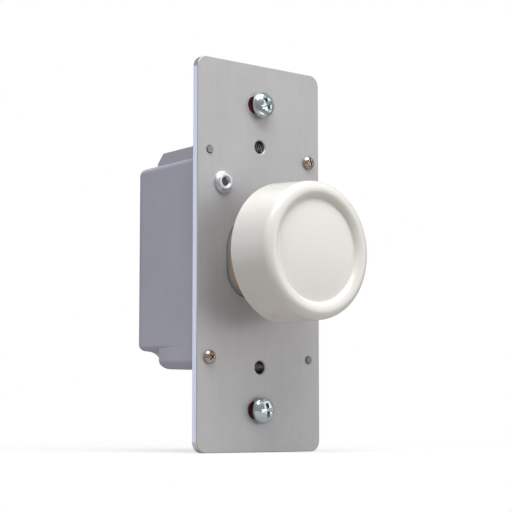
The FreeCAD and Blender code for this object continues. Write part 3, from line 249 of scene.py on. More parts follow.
def brushed_aluminium():
    """Aluminium sheet, brushed along the plate, then handled: fine scratches and cloudy patches on a soft
    sheen. Its punched edges are burnished, so they mirror the room."""
    tint, burnished = colours().yoke, linear("#E9EAEE")
    # The face's metallic share is matched to the object, which looks duller than polished metal.
    face_metallic, edge_metallic, edge_roughness = 0.33, 0.95, 0.24
    scratch_share = 0.45
    material, tree, shader = new_material("brushed_aluminium_sheet")
    normal = add_node(tree, "TexCoord").outputs["Normal"]
    facing = add_node(tree, "SeparateXYZ", Vector=normal).outputs["Y"]
    facing = add_node(tree, "Math", {"operation": "ABSOLUTE"}, _0=facing).outputs[0]
    # The real scratches are about 0.05 mm wide. They are drawn 0.25 mm wide, so that they show.
    scratches = grain(tree, 0.25 * MM, stretch=(1, 1, 60), detail=4)
    clouds = grain(tree, 11 * MM, stretch=(1, 1, 1.6), detail=4, roughness=0.6)
    both = add_node(
        tree, "Math", {"operation": "MULTIPLY_ADD"}, _0=scratches, _1=scratch_share, _2=clouds
    ).outputs[0]
    base = shade_between(tree, both, scaled_colour(tint, 0.92), scaled_colour(tint, 1.05), 0.45, 0.9)
    # 1 on the sheet's two faces and 0 on its punched edges
    face = add_node(tree, "MapRange", Value=facing, _1=0.3, _2=0.7).outputs["Result"]
    shown = add_node(tree, "Mix", {"data_type": "RGBA"}, _0=face, _6=burnished, _7=base).outputs[2]
    tree.links.new(shown, shader.inputs["Base Color"])
    tree.links.new(value_between(tree, face, edge_metallic, face_metallic), shader.inputs["Metallic"])
    sheen = value_between(tree, clouds, 0.36, 0.52)
    tree.links.new(value_between(tree, face, edge_roughness, sheen), shader.inputs["Roughness"])
    bump(tree, shader, scratches, 0.003 * MM, 0.4)
    return material


def moulded_housing():
    """Glass-filled polyester, moulded in a spark-eroded tool: even grey with a fine matt grit."""
    tint = colours().housing
    material, tree, shader = new_material("moulded_grey_polyester", IOR=1.55)
    # The tool's grit is about 0.1 mm. It is drawn 0.25 mm wide, so that it shows.
    grit = grain(tree, 0.25 * MM, detail=2)
    flow = grain(tree, 14 * MM, detail=3)
    base = shade_between(tree, flow, scaled_colour(tint, 0.95), scaled_colour(tint, 1.04))
    # The pegs' tips, which stand in front of the yoke, are drawn in a darker, more neutral grey.
    darker_from, plain_until = -1.5 * MM, -1.0 * MM
    place = add_node(tree, "TexCoord").outputs["Object"]
    along = add_node(tree, "SeparateXYZ", Vector=place).outputs["Y"]
    tip = add_node(tree, "MapRange", Value=along, _1=darker_from, _2=plain_until, _3=1.0, _4=0.0).outputs["Result"]
    shown = add_node(tree, "Mix", {"data_type": "RGBA"}, _0=tip, _6=base, _7=colours().peg_tip).outputs[2]
    tree.links.new(shown, shader.inputs["Base Color"])
    tree.links.new(value_between(tree, flow, 0.50, 0.62), shader.inputs["Roughness"])
    bump(tree, shader, grit, 0.02 * MM, 0.35)
    return material


def moulded_knob():
    """Ivory urea moulding, polished in the tool: warm white, glossy, with a faint drift in its colour."""
    tint = colours().knob
    material, tree, shader = new_material(
        "polished_ivory_urea", IOR=1.52, Coat_Weight=0.3, Coat_Roughness=0.08
    )
    flow = grain(tree, 30 * MM, detail=0)
    base = shade_between(tree, flow, scaled_colour(tint, 0.985), tint)
    tree.links.new(base, shader.inputs["Base Color"])
    polish = grain(tree, 8 * MM, detail=1)
    tree.links.new(value_between(tree, polish, 0.15, 0.18), shader.inputs["Roughness"])
    return material


def plain_moulding(name, tint, roughness):
    """A small injection moulding, such as nylon or phenolic, with a faint grit and an uneven sheen."""
    material, tree, shader = new_material(name, IOR=1.5)
    flow = grain(tree, 4 * MM, detail=2)
    base = shade_between(tree, flow, scaled_colour(tint, 0.9), scaled_colour(tint, 1.05))
    tree.links.new(base, shader.inputs["Base Color"])
    sheen = value_between(tree, flow, roughness - 0.05, roughness + 0.07)
    tree.links.new(sheen, shader.inputs["Roughness"])
    bump(tree, shader, grain(tree, 0.3 * MM, detail=2), 0.02 * MM, 0.3)
    return material


def plated_metal(name, tint, roughness, wear_size=1.2 * MM):
    """Plated or bare turned metal: bright, with a sheen that varies in patches."""
    material, tree, shader = new_material(name, Metallic=1.0)
    patches = grain(tree, wear_size, detail=4)
    base = shade_between(tree, patches, scaled_colour(tint, 0.86), scaled_colour(tint, 1.06))
    tree.links.new(base, shader.inputs["Base Color"])
    sheen = value_between(tree, patches, roughness - 0.05, roughness + 0.1)
    tree.links.new(sheen, shader.inputs["Roughness"])
    bump(tree, shader, grain(tree, 0.2 * MM, detail=3), 0.006 * MM, 0.5)
    return material


def vulcanised_fibre():
    """Red vulcanised fibre, punched from sheet: matt, with short paper fibres in it."""
    tint = colours().fibre
    material, tree, shader = new_material("punched_vulcanised_fibre", IOR=1.5, Roughness=0.7)
    fibres = grain(tree, 0.3 * MM, stretch=(6, 1, 1), detail=5)
    base = shade_between(tree, fibres, scaled_colour(tint, 0.7), scaled_colour(tint, 1.3))
    tree.links.new(base, shader.inputs["Base Color"])
    bump(tree, shader, fibres, 0.03 * MM, 0.5)
    return material


def enamelled_copper():
    """Copper wire under clear enamel: a dark orange metal with a glossy coat."""
    tint = colours().copper
    material, tree, shader = new_material(
        "enamelled_copper_wire", Metallic=0.9, Roughness=0.28, Coat_Weight=0.8, Coat_Roughness=0.1
    )
    runs = grain(tree, 2 * MM, detail=3)
    base = shade_between(tree, runs, scaled_colour(tint, 0.75), scaled_colour(tint, 1.2))
    tree.links.new(base, shader.inputs["Base Color"])
    return material


def paper_laminate():
    """Phenolic paper laminate, punched: tan brown with the mottle of its paper."""
    tint = colours().board
    material, tree, shader = new_material("punched_paper_laminate", IOR=1.55, Roughness=0.45)
    mottle = grain(tree, 0.8 * MM, detail=6, roughness=0.7)
    base = shade_between(tree, mottle, scaled_colour(tint, 0.75), scaled_colour(tint, 1.12))
    tree.links.new(base, shader.inputs["Base Color"])
    bump(tree, shader, mottle, 0.01 * MM, 0.4)
    return material


TIN = "#B9BABC"
LACQUER = "#C8AA7C"
BODY_START, BODY_END = 0.05, 0.95  # where a body starts and ends on a ramp whose ends are its leads
# Where each colour starts along a resistor's ramp
BANDS = (
    (BODY_START, LACQUER),
    (0.17, "#6A3A1C"),
    (0.25, LACQUER),
    (0.36, "#1E1A18"),
    (0.44, LACQUER),
    (0.55, "#C86A1E"),
    (0.63, LACQUER),
    (0.78, "#A8843A"),
    (0.86, LACQUER),
    (BODY_END, TIN),
)


def along_x(tree, start, end, first, stops):
    """Colours that change at once along X, on a body from start to end: the first colour is the lead's, and
    each (place, colour) stop starts the next."""
    spot = add_node(tree, "TexCoord").outputs["Object"]
    along = add_node(tree, "SeparateXYZ", Vector=spot).outputs["X"]
    place = add_node(
        tree, "MapRange", {"clamp": False}, Value=along, _1=start, _2=end, _3=BODY_START, _4=BODY_END
    )
    ramp = add_node(tree, "ValToRGB", Fac=place.outputs["Result"])
    ramp.color_ramp.interpolation = "CONSTANT"
    ramp.color_ramp.elements[0].color = linear(first)
    ramp.color_ramp.elements.remove(ramp.color_ramp.elements[1])
    for stop, tint in stops:
        ramp.color_ramp.elements.new(stop).color = linear(tint)
    return ramp.outputs["Color"]


def banded_film(start, end):
    """Carbon film under tan lacquer, with printed value bands along X: smooth and glossy, on tinned leads."""
    material, tree, shader = new_material("lacquered_carbon_film", Roughness=0.3, Coat_Weight=0.5)
    tree.links.new(along_x(tree, start, end, TIN, BANDS), shader.inputs["Base Color"])
    return material


def device_package(start, end):
    """Black epoxy moulded over tinned copper, which shows as a tab on one side and legs on the other."""
    material, tree, shader = new_material("epoxy_moulded_on_tinned_copper", Roughness=0.42)
    shown = along_x(tree, start, end, TIN, ((BODY_START, "#17181A"), (BODY_END, TIN)))
    metal = along_x(tree, start, end, "#FFFFFF", ((BODY_START, "#000000"), (BODY_END, "#FFFFFF")))
    tree.links.new(shown, shader.inputs["Base Color"])
    tree.links.new(metal, shader.inputs["Metallic"])
    bump(tree, shader, grain(tree, 0.15 * MM, detail=2), 0.01 * MM, 0.3)
    return material


def studio_floor():
    """Frosted acrylic sheet over a white room: pale, half clear, and it fades out round the switch."""
    material, tree, shader = new_material("frosted_acrylic_sheet", Roughness=0.9)
    near, far, opacity = 30 * MM, 200 * MM, 0.34
    frost = grain(tree, 3 * MM, detail=3)
    base = shade_between(tree, frost, linear("#FAFAFA"), linear("#FFFFFF"))
    tree.links.new(base, shader.inputs["Base Color"])
    place = add_node(tree, "TexCoord").outputs["Object"]
    distance = add_node(tree, "VectorMath", {"operation": "LENGTH"}, _0=place).outputs["Value"]
    shown = add_node(tree, "MapRange", Value=distance, _1=near, _2=far, _3=opacity, _4=0.0)
    tree.links.new(shown.outputs["Result"], shader.inputs["Alpha"])
    return material


# Meshes
WELD = 1e-7  # metres: corners of a new mesh this close are made one


def add_object(name, bm):
    """Puts a bmesh into the scene as an object."""
    mesh = bpy.data.meshes.new(name)
    bm.to_mesh(mesh)
    bm.free()
    thing = bpy.data.objects.new(name, mesh)
    bpy.context.scene.collection.objects.link(thing)
    return thing


def make_piece(name, bm, material, body, sharp=40):
    """Turns a bmesh into an object that rides on a body, smooth but for edges sharper than sharp degrees."""
    bmesh.ops.remove_doubles(bm, verts=bm.verts, dist=WELD)
    bmesh.ops.recalc_face_normals(bm, faces=bm.faces)
    for face in bm.faces:
        face.smooth = True
    for edge in bm.edges:
        edge.smooth = len(edge.link_faces) == 2 and edge.calc_face_angle(0) < math.radians(sharp)
    piece = add_object(name, bm)
    piece.data.materials.append(material)
    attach(piece, body)
    return piece


def finish_node(node, material):
    """Gives a CAD node its procedural material."""
    data = frame["nodes"][node].data
    data.materials.clear()
    data.materials.append(material)


def join_rings(bm, rings):
    """A band of faces between each ring of corners and the next. A ring may repeat one corner, as a tip."""
    for ring, following in zip(rings, rings[1:]):
        for i in range(len(ring)):
            j = (i + 1) % len(ring)
            corners = [ring[i], ring[j], following[j], following[i]]
            bm.faces.new(list(dict.fromkeys(corners)))


def make_ring(bm, centre, radius, y, angles):
    """A ring of corners about the Y axis through centre, an (x, z) pair. Radius 0 gives one corner."""
    if radius == 0:
        return [bm.verts.new((centre[0], y, centre[1]))] * len(angles)
    return [
        bm.verts.new((centre[0] + radius * math.cos(a), y, centre[1] + radius * math.sin(a)))
        for a in angles
    ]


def turn(bm, profile, centre, steps):
    """Turns (radius, y) points about the Y axis through centre. Radius 0 closes the end."""
    angles = [math.tau * i / steps for i in range(steps)]
    join_rings(bm, [make_ring(bm, centre, radius, y, angles) for radius, y in profile])


def arc_points(centre, radius, start, end, steps):
    """Points of an arc in (radius, y), from start to end degrees."""
    turns = [math.radians(start + (end - start) * i / steps) for i in range(steps + 1)]
    return [(centre[0] + radius * math.cos(a), centre[1] + radius * math.sin(a)) for a in turns]


def cut_thread(bm, centre, crest, start, end, pitch, depth):
    """The surface of a screw thread along +Y, from start to end."""
    steps, root = 40, crest - depth
    # One turn of the thread: shares of the pitch, and the radius there
    section = ((0.0, root), (0.2, root), (0.55, crest), (0.7, crest))
    turns = math.ceil((end - start) / pitch) + 2
    grid = []
    for i in range(steps + 1):
        angle = math.tau * i / steps
        column = []
        for j in range(turns * len(section)):
            along, radius = section[j % len(section)]
            y = start + pitch * (j // len(section) - 1 + along + i / steps)
            if not start < y < end:
                y, radius = min(max(y, start), end), root
            spot = (centre[0] + radius * math.cos(angle), y, centre[1] + radius * math.sin(angle))
            column.append(bm.verts.new(spot))
        grid.append(column)
    for left, right in zip(grid, grid[1:]):
        for j in range(len(left) - 1):
            bm.faces.new([left[j], right[j], right[j + 1], left[j + 1]])


def carve(piece, tools):
    """Cuts the tools out of the piece for good."""
    for tool in tools:
        cut = piece.modifiers.new("recess", "BOOLEAN")
        cut.object = tool
        cut.solver = "EXACT"
        bpy.context.view_layer.update()
        done = piece.evaluated_get(bpy.context.evaluated_depsgraph_get())
        mesh = bpy.data.meshes.new_from_object(done)
        piece.modifiers.clear()
        piece.data = mesh
    for tool in tools:
        bpy.data.objects.remove(tool)


# A cross slot's half length and width, as shares of those at its mouth
SLOT_OUTSIDE = (1.10, 1.05)
SLOT_BOTTOM = (0.42, 0.62)
SLOT_STANDS_OUT = 0.3 * MM  # so that the cut starts clear of the head


def recess_tool(centre, mouth, depth, reach, width, turned):
    """One tapered slot of a cross recess, turned about the screw's axis."""
    bm = bmesh.new()
    rings = []
    for y, share in ((mouth - SLOT_STANDS_OUT, SLOT_OUTSIDE), (mouth + depth, SLOT_BOTTOM)):
        half, thick = reach * share[0], width * share[1]
        outline = ((-half, -thick / 2), (half, -thick / 2), (half, thick / 2), (-half, thick / 2))
        spun = [Vector((x, y, z)) @ Matrix.Rotation(turned, 3, "Y") for x, z in outline]
        rings.append([bm.verts.new(p + Vector((centre[0], 0, centre[1]))) for p in spun])
    bm.faces.new(rings[0])
    bm.faces.new(rings[1][::-1])
    for i in range(4):
        j = (i + 1) % 4
        bm.faces.new([rings[0][j], rings[0][i], rings[1][i], rings[1][j]])
    bmesh.ops.recalc_face_normals(bm, faces=bm.faces)
    return add_object("recess", bm)


def domed(radius, under, height, wall):
    """Points of a domed head in (radius, y), from its apex out to a short wall above its underside."""
    fullness, steps = 2.2, 14  # a fullness of 2 is an ellipse
    rise = height - wall
    turns = [math.pi / 2 * i / steps for i in range(steps, -1, -1)]
    points = [
        (radius * math.cos(t) ** (2 / fullness), under - wall - rise * math.sin(t) ** (2 / fullness))
        for t in turns
    ]
    return [(0, under - height)] + points[1:]


HEAD_WALL = 0.14  # upright wall under a screw's dome, as a share of the head's height
SLOT_DEPTH = 0.68  # as a share of the head's height
SLOT_REACH = 0.62  # half a cross slot's length, as a share of the head's radius
SLOTTED_RADIUS = 3.6 * MM  # radius of the head that recess_width is given for
TIP = 0.15 * MM  # bevel at both ends of a thread


def make_screw(name, node, side, pitch, material, spin):
    """A cross-recessed screw with a domed head, in the place and to the sizes of one solid of a CAD node."""
    head, shank = screw_shape(node, side)
    centre, top, under, radius = head["centre"], head["top"], head["under"], head["head"]
    thick = under - top
    edge = sizes().head_edge
    profile = domed(radius, under, thick, thick * HEAD_WALL)
    profile += [(radius, under - edge), (radius - edge, under), (0, under)]
    bm = bmesh.new()
    turn(bm, profile, centre, steps=64)
    piece = make_piece(f"{name}_head", bm, material, FIXED, sharp=50)
    width = sizes().recess_width * radius / SLOTTED_RADIUS
    slots = [
        recess_tool(centre, top, thick * SLOT_DEPTH, radius * SLOT_REACH, width, spin + angle)
        for angle in (0, math.pi / 2)
    ]
    carve(piece, slots)
    bm = bmesh.new()
    crest, depth = shank["radius"], sizes().thread_depth
    start, tip, core = shank["start"] + TIP, shank["end"] - TIP, crest - depth
    cut_thread(bm, centre, crest, start, tip, pitch, depth)
    neck = [(shank["neck"], under), (shank["neck"], shank["start"]), (core, start)]
    turn(bm, neck, centre, steps=40)
    end = [(core, tip), (core - TIP, shank["end"]), (0, shank["end"])]
    turn(bm, end, centre, steps=40)
    thread = make_piece(f"{name}_thread", bm, material, FIXED, sharp=25)
    return piece, thread


def make_screws(kind, node, pitch, material, spins):
    """The upper and the lower screw of a CAD node, which they replace. Spins are their recesses' turns."""
    pieces = []
    for name, side, spin in (("upper", 1, spins[0]), ("lower", -1, spins[1])):
        made = make_screw(f"{name}_{kind}", node, side, pitch, material, math.radians(spin))
        pieces.extend(made)
    for piece in pieces:
        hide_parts(node)
    finish_node(node, material)


# Operators: one for each piece or group of like pieces
class DIMMER_OT_yoke(bpy.types.Operator):
    """Finish the yoke plate and cut the threads in its two cover-plate holes"""

    bl_idname = "dimmer.yoke"
    bl_label = "Yoke plate"

    def execute(self, context):
        finish_node("yoke_plate", brushed_aluminium())
        # Painted shade: the thread is drawn near-black, for the shade deep in the holes.
        thread = plated_metal("tapped_thread_painted_shade", colours().thread, 0.27, wear_size=0.5 * MM)
        low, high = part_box("yoke_plate")
        mount = next(m for m in frame["record"]["mounts"] if m["name"] == "wall_plate_screws")
        level = mount["dims"]["spacing_y_mm"] / 2 * MM
        hole = mount["dims"]["hole_r_mm"] * MM
        wall = hole + 0.02 * MM  # just behind the hole's own wall
        start = low.y + sizes().hole_lead_in
        pitch, depth = sizes().cover_pitch, sizes().cover_thread
        for name, z in (("upper", level), ("lower", -level)):
            bm = bmesh.new()
            cut_thread(bm, (0, z), wall, start, high.y, pitch, depth)
            make_piece(f"{name}_cover_hole_thread", bm, thread, FIXED, sharp=25)
        return {"FINISHED"}


class DIMMER_OT_housing(bpy.types.Operator):
    """Finish the moulded box behind the yoke"""

    bl_idname = "dimmer.housing"
    bl_label = "Housing"

    def execute(self, context):
        finish_node("housing", moulded_housing())
        return {"FINISHED"}


KNOB_SKIN = 0.9 * MM  # the knob's outside lies within this of its greatest radius
KNOB_BEND = 0.22 * MM  # how far inside the face's edge its bend into the bead starts
KNOB_BEND_TURN = 8  # and how many degrees before that edge it ends on the bead
KNOB_RIM_CORNERS = 60  # an unbroken rim has at least as many corners


def knob_front(rim, bead):
    """The knob's outside in (radius, y), from its rim's corner over the bead to the middle of its face."""
    radius, lip, dome = sizes().knob_bead, sizes().knob_lip, sizes().knob_dome
    out, down = rim[0] - bead[0], rim[1] - bead[1]
    # The side is a straight line from the rim's corner that touches the bead.
    touch = math.degrees(math.atan2(down, out) - math.acos(radius / math.hypot(out, down)))
    edge_turn = math.degrees(math.asin(lip / radius)) - 180
    arc = arc_points(bead, radius, touch, edge_turn + KNOB_BEND_TURN, steps=44)
    side = [tuple(a + (b - a) * i / 8 for a, b in zip(rim, arc[0])) for i in range(1, 8)]
    edge = arc_points(bead, radius, edge_turn, 0, steps=1)[0]
    reach = edge[0] - KNOB_BEND
    face = []
    for i in range(17):
        inward = 1 - i / 16
        face.append((reach * inward, edge[1] - dome * (1 - (reach / edge[0] * inward) ** 2)))
    bend = [
        tuple((1 - t) ** 2 * a + 2 * t * (1 - t) * b + t**2 * c for a, b, c in zip(arc[-1], edge, face[0]))
        for t in (0.2, 0.4, 0.6, 0.8)
    ]
    return side + arc + bend + face


class DIMMER_OT_knob(bpy.types.Operator):
    """Turn the knob's outside afresh over its moulded inside, and finish the clip in its hub"""

    bl_idname = "dimmer.knob"
    bl_label = "Knob"

    def execute(self, context):
        low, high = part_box("knob")
        outer = high.x
        bm = bmesh.new()
        bm.from_mesh(frame["nodes"]["knob"].data)
        bmesh.ops.remove_doubles(bm, verts=bm.verts, dist=SAME)
        away = {v: math.hypot(v.co.x, v.co.z) for v in bm.verts}
        crown = [away[v] for v in bm.verts if v.co.y < low.y + LEVEL]
        bead = (sum(crown) / len(crown), low.y + sizes().knob_bead)
        skin = outer - KNOB_SKIN
        old = [
            face
            for face in bm.faces
            if all(v.co.y < bead[1] - LEVEL or away[v] > skin for v in face.verts)
            and any(v.co.y < high.y - LEVEL for v in face.verts)
        ]
        bmesh.ops.delete(bm, geom=old, context="FACES")
        rim = {v for edge in bm.edges if len(edge.link_faces) == 1 for v in edge.verts}
        rim = sorted(rim, key=lambda v: math.atan2(v.co.z, v.co.x))
        if len(rim) < KNOB_RIM_CORNERS or any(away[v] < skin for v in rim):
            raise RuntimeError("The knob's outside did not come away in one piece")
        turns = [math.atan2(v.co.z, v.co.x) for v in rim]
        profile = knob_front((outer, high.y), bead)
        join_rings(bm, [rim] + [make_ring(bm, (0, 0), radius, y, turns) for radius, y in profile])
        ivory = moulded_knob()
        piece = make_piece("knob_moulding", bm, ivory, "control")
        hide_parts("knob")
        finish_node("knob", ivory)
        finish_node("knob_clip", plated_metal("hardened_spring_strip", linear("#8A8F98"), 0.3))
        return {"FINISHED"}


LIP_DEPTH = 1.2 * MM  # how far the lip goes back round the bearing's side


def moved_out(outline, distance):
    """An outline of (x, z) corners, moved away from the middle."""
    return [
        (x + distance * x / math.hypot(x, z), z + distance * z / math.hypot(x, z)) for x, z in outline
    ]


def make_shade_lip():
    """A dark grey ring round the bearing's face in the yoke's window, put there as painted shade for the
    shaded gap round the bearing.
    """
    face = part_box("yoke_plate")[0].y
    hub = 0.6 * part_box("bearing_cover")[1].x  # the corners nearer to the shaft aren't the outline's
    points = [v.co for v in frame["nodes"]["bearing_cover"].data.vertices]
    points = [p for p in points if face < p.y < face / 2 and math.hypot(p.x, p.z) > hub]
    level = min(p.y for p in points)
    spots = {(round(p.x, 6), round(p.z, 6)) for p in points if p.y < level + LEVEL}
    outline = sorted(spots, key=lambda spot: math.atan2(spot[1], spot[0]))
    inner, outer = moved_out(outline, -sizes().lip_width), moved_out(outline, sizes().lip_wall)
    front, back = level - sizes().lip_rise, level + LIP_DEPTH
    bm = bmesh.new()
    loops = [
        [bm.verts.new((x, y, z)) for x, z in loop]
        for loop, y in ((inner, back), (inner, front), (outer, front), (outer, back))
    ]
    join_rings(bm, loops + loops[:1])
    # Painted shade: the ring is drawn dark grey for the shade in the gap round the bearing.
    grey = plain_moulding("grey_lip_painted_shade", colours().lip, 0.45)
    make_piece("bearing_lip_painted_shade", bm, grey, FIXED)


class DIMMER_OT_turning_parts(bpy.types.Operator):
    """Finish the shaft, the bearing with the dark ring of painted shade round it, and what turns with the
    shaft
    """

    bl_idname = "dimmer.turning_parts"
    bl_label = "Shaft and bearing"

    def execute(self, context):
        finish_node("shaft", plated_metal("turned_aluminium_rod", linear("#C4C5C9"), 0.28))
        finish_node("bearing_cover", plain_moulding("moulded_tan_nylon", colours().bearing, 0.5))
        make_shade_lip()
        finish_node("rotor", plain_moulding("moulded_white_acetal", linear("#D9D4C6"), 0.42))
        finish_node("wiper", plated_metal("stamped_spring_brass", linear("#C9A25A"), 0.3))
        return {"FINISHED"}


class DIMMER_OT_mounting_screws(bpy.types.Operator):
    """Make the two zinc-plated wall-box screws and finish their fibre retainers"""

    bl_idname = "dimmer.mounting_screws"
    bl_label = "Wall-box screws"

    def execute(self, context):
        zinc = plated_metal("bright_zinc_plated_steel", colours().zinc, 0.13, wear_size=0.9 * MM)
        make_screws("box_screw", "mounting_screws", sizes().box_pitch, zinc, (28, 8))
        finish_node("screw_retainers", vulcanised_fibre())
        return {"FINISHED"}


class DIMMER_OT_housing_screws(bpy.types.Operator):
    """Make the two small nickel-plated screws that hold the housing"""

    bl_idname = "dimmer.housing_screws"
    bl_label = "Housing screws"

    def execute(self, context):
        nickel = plated_metal("nickel_plated_steel", colours().nickel, 0.17, wear_size=0.6 * MM)
        pitch = sizes().small_pitch
        make_screws("housing_screw", "housing_screws", pitch, nickel, (20, 50))
        return {"FINISHED"}


RIVET_BODY = 2 * MM  # the rivet's body is slimmer than this radius, and its head and flare are wider
WELL_DEPTH = 1.6  # depth of the rounded mouth, as a share of its width
DOME_DROP = 0.9  # how far the dome comes down at its edge, as a share of the head's height
FLARE_BEVEL = (0.3 * MM, 0.2 * MM)  # taken off the flare's back edge, across and along


class DIMMER_OT_rivet(bpy.types.Operator):
    """Turn the hollow rivet that holds the power device: a smooth dome with a flared mouth"""

    bl_idname = "dimmer.rivet"
    bl_label = "Rivet"

    def execute(self, context):
        low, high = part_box("triac_rivet")
        centre = ((low.x + high.x) / 2, (low.z + high.z) / 2)
        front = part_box("yoke_plate")[0].y
        head = (high.x - low.x) / 2
        points = [v.co for v in frame["nodes"]["triac_rivet"].data.vertices]
        out = [(math.hypot(p.x - centre[0], p.z - centre[1]), p.y) for p in points]
        bore = min(radius for radius, y in out)
        grip = min(y for radius, y in out if y > front + MM and radius > RIVET_BODY)
        shank = max(
            radius
            for radius, y in out
            if front + 0.1 * MM < y < grip - SAME or (abs(y - front) < SAME and radius < RIVET_BODY)
        )
        flare = max(radius for radius, y in out if y > grip - SAME)
        crest = sizes().rivet_crest
        floor = low.y + sizes().rivet_hollow
        mouth, rim, drop = crest - bore, head - crest, DOME_DROP * (front - low.y)
        turns = [math.pi / 2 * i / 12 for i in range(13)]
        well = [(crest - mouth * math.sin(t), low.y + WELL_DEPTH * mouth * (1 - math.cos(t))) for t in turns]
        dome = [(crest + rim * math.sin(t), low.y + drop * (1 - math.cos(t))) for t in turns]
        profile = [(0, floor), (bore, floor)] + well[::-1] + dome[1:]
        profile += [(head, front), (shank, front), (shank, grip)]
        profile += arc_points((shank, grip + flare - shank), flare - shank, -90, 0, steps=6)[1:]
        profile += [(flare, high.y - FLARE_BEVEL[1]), (flare - FLARE_BEVEL[0], high.y), (0, high.y)]
        bm = bmesh.new()
        turn(bm, profile, centre, steps=72)
        rivet = plated_metal("cold_headed_aluminium", colours().rivet, 0.4, wear_size=0.8 * MM)
        piece = make_piece("rivet", bm, rivet, FIXED, sharp=45)
        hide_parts("triac_rivet")
        finish_node("triac_rivet", rivet)
        return {"FINISHED"}


class DIMMER_OT_control_track(bpy.types.Operator):
    """Finish the resistor track, its pins and its case"""

    bl_idname = "dimmer.control_track"
    bl_label = "Control track"

    def execute(self, context):
        finish_node("track_case", plain_moulding("moulded_brown_phenolic", linear("#3B2A20"), 0.38))
        finish_node("resistor_board", plain_moulding("printed_carbon_laminate", linear("#2B2624"), 0.55))
        finish_node("track_pins", plated_metal("tinned_copper_wire", linear("#C9C9C4"), 0.25))
        return {"FINISHED"}


class DIMMER_OT_push_switch(bpy.types.Operator):
    """Finish the push switch: its shell, plunger, spring and contacts"""

    bl_idname = "dimmer.push_switch"
    bl_label = "Push switch"

    def execute(self, context):
        black = plain_moulding("moulded_black_phenolic", linear("#1C1C1E"), 0.42)
        finish_node("switch_cover", black)
        finish_node("switch_base", black)
        finish_node("switch_plunger", plain_moulding("moulded_natural_acetal", linear("#E4E1D8"), 0.38))
        brass = plated_metal("stamped_contact_brass", linear("#C39A4E"), 0.3)
        finish_node("fixed_contacts", brass)
        finish_node("moving_contact", brass)
        steel = plated_metal("drawn_spring_wire", linear("#9DA1A8"), 0.25)
        low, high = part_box("plunger_spring")
        inner = min(math.hypot(v.co.x, v.co.z) for v in frame["nodes"]["plunger_spring"].data.vertices)
        wire = high.x - inner
        bm = bmesh.new()
        coil(bm, high.x - wire / 2, wire, low.y + wire / 2, high.y - wire / 2, sizes().spring_turns)
        spring = make_piece("return_spring", bm, steel, FIXED, sharp=60)
        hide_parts("plunger_spring")
        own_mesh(spring)
        finish_node("plunger_spring", steel)
        return {"FINISHED"}


class DIMMER_OT_power_device(bpy.types.Operator):
    """Finish the power device and its heat pad"""

    bl_idname = "dimmer.power_device"
    bl_label = "Power device"

    def execute(self, context):
        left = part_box("triac")[0].x + sizes().tab_length
        finish_node("triac", device_package(left, left + sizes().package_length))
        finish_node("thermal_pad", plain_moulding("cut_silicone_sheet", linear("#B9B4C6"), 0.65))
        return {"FINISHED"}


CLOSED_TURN = 1.05  # rise of a spring's closed turn, in wires
WOUND_TURN = 1.02  # room that a turn of the choke takes inside its core, in wires
CORE_GAP = 0.03 * MM  # between the choke's core and its wire


def sweep(bm, path, radius):
    """A round wire along a path of (spot, normal) pairs, closed at both ends."""
    sides = 10
    rings = []
    for i, (spot, normal) in enumerate(path):
        ahead = (path[min(i + 1, len(path) - 1)][0] - path[max(i - 1, 0)][0]).normalized()
        side = ahead.cross(normal).normalized()
        up = side.cross(ahead)
        turns = [math.tau * k / sides for k in range(sides)]
        rings.append([bm.verts.new(spot + (side * math.cos(t) + up * math.sin(t)) * radius) for t in turns])
    join_rings(bm, rings)
    bm.faces.new(rings[0])
    bm.faces.new(rings[-1][::-1])


def coil(bm, radius, wire, start, end, turns):
    """A compression spring along Y, of round wire, whose first and last turns lie close."""
    steps = 32
    close = CLOSED_TURN * wire
    wide = (end - start - 2 * close) / (turns - 2)
    path, y = [], start
    for i in range(turns * steps + 1):
        angle = math.tau * i / steps
        out = Vector((math.cos(angle), 0, math.sin(angle)))
        path.append((out * radius + Vector((0, y, 0)), out))
        y += (wide if 1 <= i / steps < turns - 1 else close) / steps
    sweep(bm, path, wire / 2)


def wind(bm, core, wire, gap):
    """One layer of round wire on a ring core whose axis is Y. The gap between its ends faces -X."""
    low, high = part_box(core)
    middle = Vector(((low.x + high.x) / 2, 0, (low.z + high.z) / 2))
    outer = (high.x - low.x) / 2
    points = [v.co for v in frame["nodes"][core].data.vertices]
    inner = min(math.hypot(p.x - middle.x, p.z - middle.z) for p in points)
    away = wire / 2 + CORE_GAP
    corners = ((outer, high.y, 0), (inner, high.y, 90), (inner, low.y, 180), (outer, low.y, 270))
    loop = [(r, y, math.radians(a + turned)) for r, y, a in corners for turned in (0, 30, 60, 90)]
    span = math.tau - gap
    count = int((inner - away) * span / (WOUND_TURN * wire))
    path = []
    for i in range(count * len(loop) + 1):
        r, y, a = loop[i % len(loop)]
        along = gap / 2 - math.pi + span * i / (count * len(loop))
        out = Vector((math.cos(along), 0, math.sin(along)))
        normal = out * math.cos(a) + Vector((0, math.sin(a), 0))
        path.append((middle + out * r + Vector((0, y, 0)) + normal * away, normal))
    sweep(bm, path, wire / 2)


class DIMMER_OT_choke(bpy.types.Operator):
    """Wind the choke's wire round its ring core"""

    bl_idname = "dimmer.choke"
    bl_label = "Choke"

    def execute(self, context):
        finish_node("choke_core", plain_moulding("dipped_iron_powder_core", linear("#B8A03A"), 0.4))
        copper = enamelled_copper()
        bm = bmesh.new()
        wind(bm, "choke_core", sizes().wire, sizes().wire_gap)
        piece = make_piece("choke_wire", bm, copper, FIXED, sharp=60)
        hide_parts("choke_winding")
        finish_node("choke_winding", copper)
        return {"FINISHED"}


